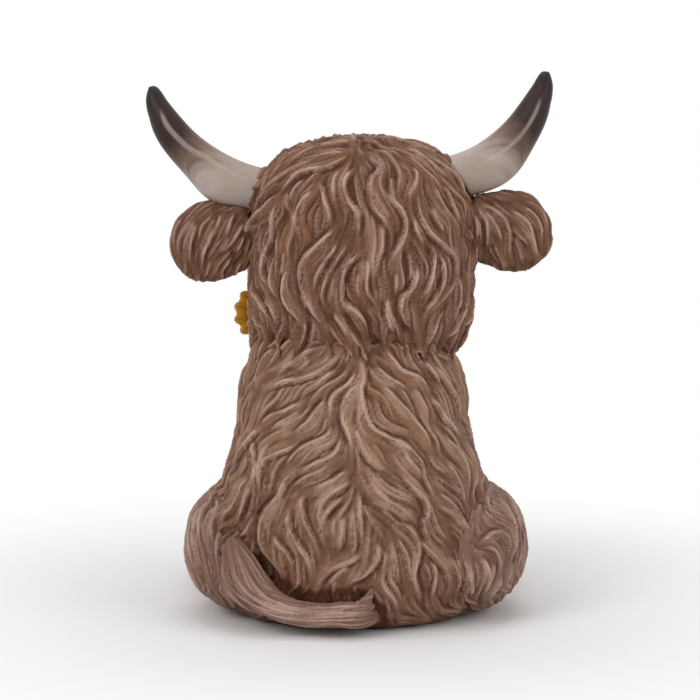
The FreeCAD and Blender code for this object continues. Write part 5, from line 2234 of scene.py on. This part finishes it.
@dataclass
class Eye:
    """A glossy eye with its heavy upper lid; gaps and walls in millimetres, the rest shares."""

    side: Side
    look: tuple[float, float, float] = (0.42, 0.9, 0.06)
    ball_share: float = 0.985
    bulge: float = 0.03
    bulge_width: float = 0.12
    lid_gap: float = 0.35
    lid_wall: float = 0.9
    lid_edge: float = 0.25
    lid_lift: float = 0.62
    lid_back: float = 0.1

    def __post_init__(self) -> None:
        """Reads the eye's place and size from the frame."""
        low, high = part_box(f"{self.side.word}_eye")
        self.middle = (low + high) / 2
        self.radius = (high.x - low.x) / 2
        self.way = Vector((self.look[0] * self.side.value, *self.look[1:])).normalized()

    def build(self) -> None:
        """Makes the ball and the lid."""
        self.build_ball()
        self.build_lid()

    def build_ball(self) -> None:
        """The ball, a little fuller in front, with how far each point is from its pupil."""
        deselect()
        bpy.ops.mesh.primitive_uv_sphere_add(
            segments=56, ring_count=36, radius=self.radius, location=self.middle
        )
        ball = settle(bpy.context.object, f"{self.side.word}_eyeball")
        middle = np.array(self.middle)
        rays = mesh_arrays(ball)[0] - middle
        rays /= np.linalg.norm(rays, axis=1)[:, None]
        facing = np.clip(rays @ np.array(self.way), -1, 1)
        bulge = np.exp(-((1 - facing) / self.bulge_width)) * self.bulge
        radii = self.radius * self.ball_share * (1 + bulge)
        write_points(ball, middle + rays * radii[:, None])
        write_numbers(ball, "away", np.arccos(facing) / math.pi)
        hand_over(ball, FINISHES.eye, (f"{self.side.word}_eye",))

    def build_lid(self) -> None:
        """A thick shell over the upper half of the ball."""
        deselect()
        bpy.ops.mesh.primitive_uv_sphere_add(
            segments=48, ring_count=32, radius=self.radius + self.lid_gap * MM,
            location=self.middle,
        )
        lid = bpy.context.object
        bpy.ops.object.mode_set(mode="EDIT")
        lift = Vector((0, 0, self.radius * self.lid_lift))
        back = Vector((0, -self.radius * self.lid_back, 0))
        for shift, normal in ((lift, (0, -0.35, -1)), (back, (0, -1, 0.1))):
            bpy.ops.mesh.select_all(action="SELECT")
            bpy.ops.mesh.bisect(plane_co=self.middle + shift, plane_no=normal, clear_outer=True)
        bpy.ops.object.mode_set(mode="OBJECT")
        lid = settle(lid, f"{self.side.word}_eyelid")
        apply_modifier(lid, "SOLIDIFY", thickness=self.lid_wall * MM, offset=1.0)
        apply_modifier(lid, "BEVEL", width=self.lid_edge * MM, segments=2, limit_method="ANGLE")
        hand_over(lid, FINISHES.lid, ())


@dataclass
class Muzzle:
    """The broad soft muzzle with comma-shaped nostrils, a mouth line and fine folds."""

    voxel: float = 0.42
    softening: int = 6
    front: tuple[float, float] = (0.1, 0.3)
    nostril_out: float = 7.6
    nostril_up: float = 2.6
    nostril_size: tuple[float, float] = (2.9, 1.7)
    nostril_depth: float = 1.7
    nostril_turn: tuple[float, float] = (0.82, 0.57)
    nostril_bend: float = 0.16
    nostril_dark: float = 3.5
    rim_height: float = 0.35
    rim_place: float = 1.25
    rim_width: float = 0.3
    mouth_drop: float = 7.2
    mouth_rise: float = 0.01575
    mouth_width: float = 0.55
    mouth_depth: float = 0.7
    mouth_dark: float = 0.75
    cleft_width: float = 0.45
    cleft_top: float = 0.5
    cleft_fade: float = 1.5
    cleft_share: float = 0.7
    fold: float = 0.16
    fold_size: tuple[float, float] = (1.1, 2.6)

    def build(self) -> None:
        """Copies the casting, then presses nostrils, mouth and folds into it."""
        piece = copy_node("muzzle", "muzzle_skin")
        apply_modifier(piece, "REMESH", mode="VOXEL", voxel_size=self.voxel * MM)
        soften(piece, self.softening)
        low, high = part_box("muzzle")
        points, normals = mesh_arrays(piece)
        points /= MM
        place = points - np.array((low + high) / 2 / MM)
        least, fade = self.front
        front = clipped((normals[:, 1] - least) / fade)
        press, dark = self.press_nostrils(place, front)
        mouth, mouth_dark = self.press_mouth(place, front)
        press -= mouth
        dark = np.maximum(dark, mouth_dark)
        narrow, wide = self.fold_size
        folds = [noise.noise(Vector((x / narrow, y / wide, z / wide))) for x, y, z in place]
        press += np.array(folds) * self.fold
        write_points(piece, (points + normals * press[:, None]) * MM)
        write_numbers(piece, "hollow", dark)
        hand_over(piece, FINISHES.skin, ("muzzle",))

    def press_nostrils(self, place: np.ndarray, front: np.ndarray) -> tuple[np.ndarray, np.ndarray]:
        """Works out both nostrils.

        Args:
            place: Points from the muzzle's middle, in millimetres.
            front: How far each faces forwards, from 0 to 1.

        Returns:
            How far each point moves out, and how dark it is painted.
        """
        press = np.zeros(len(place))
        dark = np.zeros(len(place))
        straight, turned = self.nostril_turn
        length, height = self.nostril_size
        for side in Side:
            across = (place[:, 0] - side.value * self.nostril_out) * side.value
            above = place[:, 2] - self.nostril_up
            along = across * straight + above * turned
            bent = -across * turned + above * straight - self.nostril_bend * along**2 / length
            inside = (along / length) ** 2 + (bent / height) ** 2
            cup = clipped(1 - inside)
            rim = bell(np.sqrt(inside) - self.rim_place, self.rim_width)
            press += (rim * self.rim_height - np.sqrt(cup) * self.nostril_depth) * front
            dark = np.maximum(dark, clipped(cup * self.nostril_dark) * front)
        return press, dark

    def press_mouth(self, place: np.ndarray, front: np.ndarray) -> tuple[np.ndarray, np.ndarray]:
        """Works out the mouth line and the cleft above it.

        Args:
            place: Points from the muzzle's middle, in millimetres.
            front: How far each faces forwards, from 0 to 1.

        Returns:
            How deep each point is pressed in, and how dark it is painted.
        """
        above = place[:, 2] + self.mouth_drop - self.mouth_rise * place[:, 0] ** 2
        line = bell(above, self.mouth_width) * front
        cleft = bell(place[:, 0], self.cleft_width) * front * clipped(above)
        cleft *= clipped((self.cleft_top - place[:, 2]) / self.cleft_fade)
        press = (line + cleft * self.cleft_share) * self.mouth_depth
        return press, np.maximum(line, cleft * self.cleft_share) * self.mouth_dark


@dataclass
class Sunflower:
    """The flower held in the mouth: two rings of cupped petals and a domed disc of seeds."""

    petals: int = 13
    petal_width: float = 4.6
    petal_shares: tuple[float, float, float] = (0.62, 0.5, 0.12)
    petal_wall: float = 1.1
    petal_root: float = 0.6
    inner_loss: float = 1.2
    crease: float = 0.35
    crease_width: float = 0.12
    cup: float = 0.9
    cup_middle: float = 0.35
    flat_cup: float = 0.55
    ring_gap: float = 0.8
    ring_middle: float = 0.4
    seeds: int = 110
    seed_size: float = 0.42
    seed_reach: float = 0.95
    dome: float = 1.5
    dome_drop: float = 0.1

    def __post_init__(self) -> None:
        """Reads the flower's middle, plane and reach from the frame."""
        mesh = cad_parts["flower_petals"].data
        cloud = np.array([tuple(vertex.co) for vertex in mesh.vertices]) / MM
        low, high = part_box("flower_petals")
        self.middle = np.array((low + high) / 2) / MM
        normal = np.linalg.svd(cloud - cloud.mean(axis=0), full_matrices=False)[2][2]
        self.normal = Vector(normal if normal[1] > 0 else -normal)
        self.across = self.normal.cross(Vector((0, 0, 1))).normalized()
        self.up = self.across.cross(self.normal)
        self.reach = float(np.linalg.norm(cloud - self.middle, axis=1).max())
        disc_low, disc_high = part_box("flower_disc")
        self.disc_middle = (disc_low + disc_high) / 2 / MM
        self.disc_radius = (disc_high.z - disc_low.z) / 2 / MM

    def place(self, turn: float, out: float, side: float, lift: float) -> Vector:
        """A place on the flower.

        Args:
            turn: Its turn round the middle, in radians.
            out: How far out it is, in millimetres.
            side: How far beside that line it is, in millimetres.
            lift: How far it stands off the flower's plane, in millimetres.

        Returns:
            The place, in metres.
        """
        radial = self.across * math.cos(turn) + self.up * math.sin(turn)
        beside = self.up * math.cos(turn) - self.across * math.sin(turn)
        return (Vector(self.middle) + radial * out + beside * side + self.normal * lift) * MM

    def build(self) -> None:
        """Makes the petals and the seeds."""
        self.build_petals()
        self.build_seeds()

    def build_petals(self) -> None:
        """Both rings, each petal its own thick rounded blade."""
        deselect()
        bpy.ops.mesh.primitive_uv_sphere_add(segments=20, ring_count=14, radius=0.5)
        pattern = bpy.context.object
        points, _ = mesh_arrays(pattern)
        write_numbers(pattern, "along", points[:, 0] + 0.5)
        write_numbers(pattern, "beside", np.abs(points[:, 1]) * 2)
        root, swell, narrowing = self.petal_shares
        inner = self.disc_radius * self.petal_root
        blades = []
        for ring, bend in enumerate((self.flat_cup, 1)):
            length = self.reach - inner - ring * self.inner_loss
            for number in range(self.petals):
                turn = 2 * math.pi * (number + ring * 0.5) / self.petals
                placed = []
                for along, side, lift in points:
                    share = along + 0.5
                    width = self.petal_width * (root + swell * share - narrowing * share**2)
                    crease = -self.crease * bell(side, self.crease_width) * (lift > 0)
                    curl = self.cup * (share**2 - self.cup_middle) * bend
                    rise = lift * self.petal_wall + curl + crease
                    rise += self.ring_gap * (ring - self.ring_middle)
                    place = self.place(turn, inner + share * length, side * width, rise)
                    placed.append(tuple(place))
                blade = own_copy(pattern)
                write_points(blade, np.array(placed))
                blades.append(blade)
        bpy.data.objects.remove(pattern)
        petals = settle(joined(blades), "sunflower_petals")
        recalculate(petals)
        hand_over(petals, FINISHES.petal, ("flower_petals",))

    def build_seeds(self) -> None:
        """A low dome set with seeds in a spiral."""
        deselect()
        bpy.ops.mesh.primitive_uv_sphere_add(segments=32, ring_count=20, radius=1.0)
        pieces = [bpy.context.object]
        points, _ = mesh_arrays(pieces[0])
        dome = [
            self.disc_middle * MM + (self.across * x + self.up * y) * self.disc_radius * MM
            + self.normal * (self.dome * z - self.dome_drop) * MM
            for x, y, z in points
        ]
        write_points(pieces[0], np.array([tuple(point) for point in dome]))
        deselect()
        bpy.ops.mesh.primitive_ico_sphere_add(subdivisions=1, radius=self.seed_size * MM)
        pattern = bpy.context.object
        for number in range(self.seeds):
            seed = own_copy(pattern)
            share = math.sqrt((number + 0.5) / self.seeds)
            turn = number * math.pi * (3 - math.sqrt(5))
            out = share * self.disc_radius * self.seed_reach
            lift = self.dome * math.sqrt(max(1 - share**2, 0)) - self.dome_drop
            beside = self.across * math.cos(turn) * out + self.up * math.sin(turn) * out
            seed.location = self.disc_middle * MM + (beside + self.normal * lift) * MM
            pieces.append(seed)
        bpy.data.objects.remove(pattern)
        seeds = settle(joined(pieces), "sunflower_seeds")
        recalculate(seeds)
        hand_over(seeds, FINISHES.seeds, ("flower_disc",))


@dataclass
class Hoof:
    """A cloven hoof with soft edges and faint growth rings, in millimetres."""

    node: str
    voxel: float = 0.32
    softening: int = 14
    ring: float = 0.12
    ring_length: float = 9.0
    ring_height: float = 1.3

    def build(self) -> None:
        """Copies the casting, rounds its edges and waves its wall."""
        hoof = copy_node(self.node, f"{self.node}_shell")
        apply_modifier(hoof, "REMESH", mode="VOXEL", voxel_size=self.voxel * MM)
        soften(hoof, self.softening)
        points, normals = mesh_arrays(hoof)
        long, high = self.ring_length, self.ring_height
        rings = [noise.noise(Vector((x / long, y / long, z / high))) for x, y, z in points / MM]
        write_points(hoof, points + normals * (np.array(rings) * self.ring * MM)[:, None])
        hand_over(hoof, FINISHES.hoof, (self.node,))


@dataclass(frozen=True)
class Lamp:
    """A square soft lamp that looks at the middle of the object."""

    name: str
    place: tuple[float, float, float]
    size: float
    power: float
    aim: tuple[float, float, float] = (0, 0, 0.08)

    def build(self) -> None:
        """Adds the lamp."""
        data = bpy.data.lights.new(self.name, "AREA")
        data.size = self.size
        data.energy = self.power
        lamp = bpy.data.objects.new(self.name, data)
        turn = (Vector(self.aim) - Vector(self.place)).to_track_quat("-Z", "Y")
        lamp.matrix_world = Matrix.Translation(self.place) @ turn.to_matrix().to_4x4()
        bpy.context.scene.collection.objects.link(lamp)


@dataclass(frozen=True)
class Studio:
    """The pale floor and the soft lamps."""

    floor_size: float = 2.4
    paper: float = 0.9
    white_from: Ramp = Ramp(0.07, 0.2)
    ambient: float = 0.5
    lamps: tuple[Lamp, ...] = (
        Lamp("key_lamp", (-0.7, -0.75, 0.75), 0.7, 5.0),
        Lamp("fill_lamp", (0.8, -0.65, 0.5), 0.8, 3.0),
        Lamp("crown_lamp", (0.0, 0.25, 1.0), 0.8, 3.0),
    )

    def build(self) -> None:
        """Adds floor, lamps and world."""
        self.add_floor()
        for lamp in self.lamps:
            lamp.build()
        self.add_world()

    def add_floor(self) -> None:
        """A wide pale floor just under the felt, white where it is far from the object."""
        deselect()
        bpy.ops.mesh.primitive_plane_add(size=self.floor_size)
        floor = bpy.context.object
        floor.name = "floor"
        shader = Shader("floor_paper")
        shader.finish((self.paper,) * 3, self.paper)
        path = shader.add("ShaderNodeLightPath").outputs
        seen = shader.maths("MAXIMUM", path["Is Camera Ray"], path["Is Glossy Ray"])
        seen = shader.maths("MAXIMUM", seen, path["Is Transmission Ray"])
        point = shader.object_point()
        away = shader.add("ShaderNodeVectorMath", {0: point}, operation="LENGTH")
        share = shader.times(seen, shader.span(away.outputs["Value"], self.white_from))
        white = shader.add("ShaderNodeEmission").outputs["Emission"]
        mixer = shader.add(
            "ShaderNodeMixShader", {0: share, 1: shader.principled.outputs["BSDF"], 2: white}
        )
        shader.feed(shader.nodes["Material Output"].inputs["Surface"], mixer.outputs["Shader"])
        floor.data.materials.append(shader.material)

    def add_world(self) -> None:
        """White where it is seen or reflected, and a soft even light elsewhere."""
        world = bpy.data.worlds.new("studio")
        world.use_nodes = True
        bpy.context.scene.world = world
        nodes = world.node_tree.nodes
        links = world.node_tree.links
        path = nodes.new("ShaderNodeLightPath").outputs
        seen = path["Is Camera Ray"]
        for kind in ("Is Glossy Ray", "Is Transmission Ray"):
            either = nodes.new("ShaderNodeMath")
            either.operation = "MAXIMUM"
            links.new(seen, either.inputs[0])
            links.new(path[kind], either.inputs[1])
            seen = either.outputs[0]
        strength = nodes.new("ShaderNodeMapRange")
        strength.inputs["To Min"].default_value = self.ambient
        strength.inputs["To Max"].default_value = 1.0
        links.new(seen, strength.inputs["Value"])
        background = nodes["Background"]
        background.inputs["Color"].default_value = (1, 1, 1, 1)
        links.new(strength.outputs["Result"], background.inputs["Strength"])


def paint_nodes(paint: Paint, *nodes: str) -> None:
    """Gives nodes that stay as they are one material.

    Args:
        paint: Their finish.
        nodes: The frame's nodes.
    """
    material = paint.build()
    for node in nodes:
        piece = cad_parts[node]
        piece.data.materials.clear()
        piece.data.materials.append(material)
        LOG.info("%s painted", node)


def main() -> None:
    """Builds the stage, then every piece of the figurine."""
    logging.basicConfig(level=logging.INFO, format="%(message)s")
    bpy.context.scene.view_settings.view_transform = "Standard"
    CAMERA.build()
    Studio().build()
    for coat in build_coats() + build_horns():
        coat.build()
    for side in Side:
        Eye(side).build()
        Hoof(f"{side.word}_fore_hoof").build()
        Hoof(f"{side.word}_hind_hoof").build()
    Muzzle().build()
    Sunflower().build()
    paint_nodes(FINISHES.stem, "flower_stem", "flower_leaf")
    paint_nodes(FINISHES.steel, "horn_dowels")
    paint_nodes(FINISHES.resin, "base_plug")
    paint_nodes(FINISHES.felt, "base_felt")


if __name__ == "__main__":
    main()
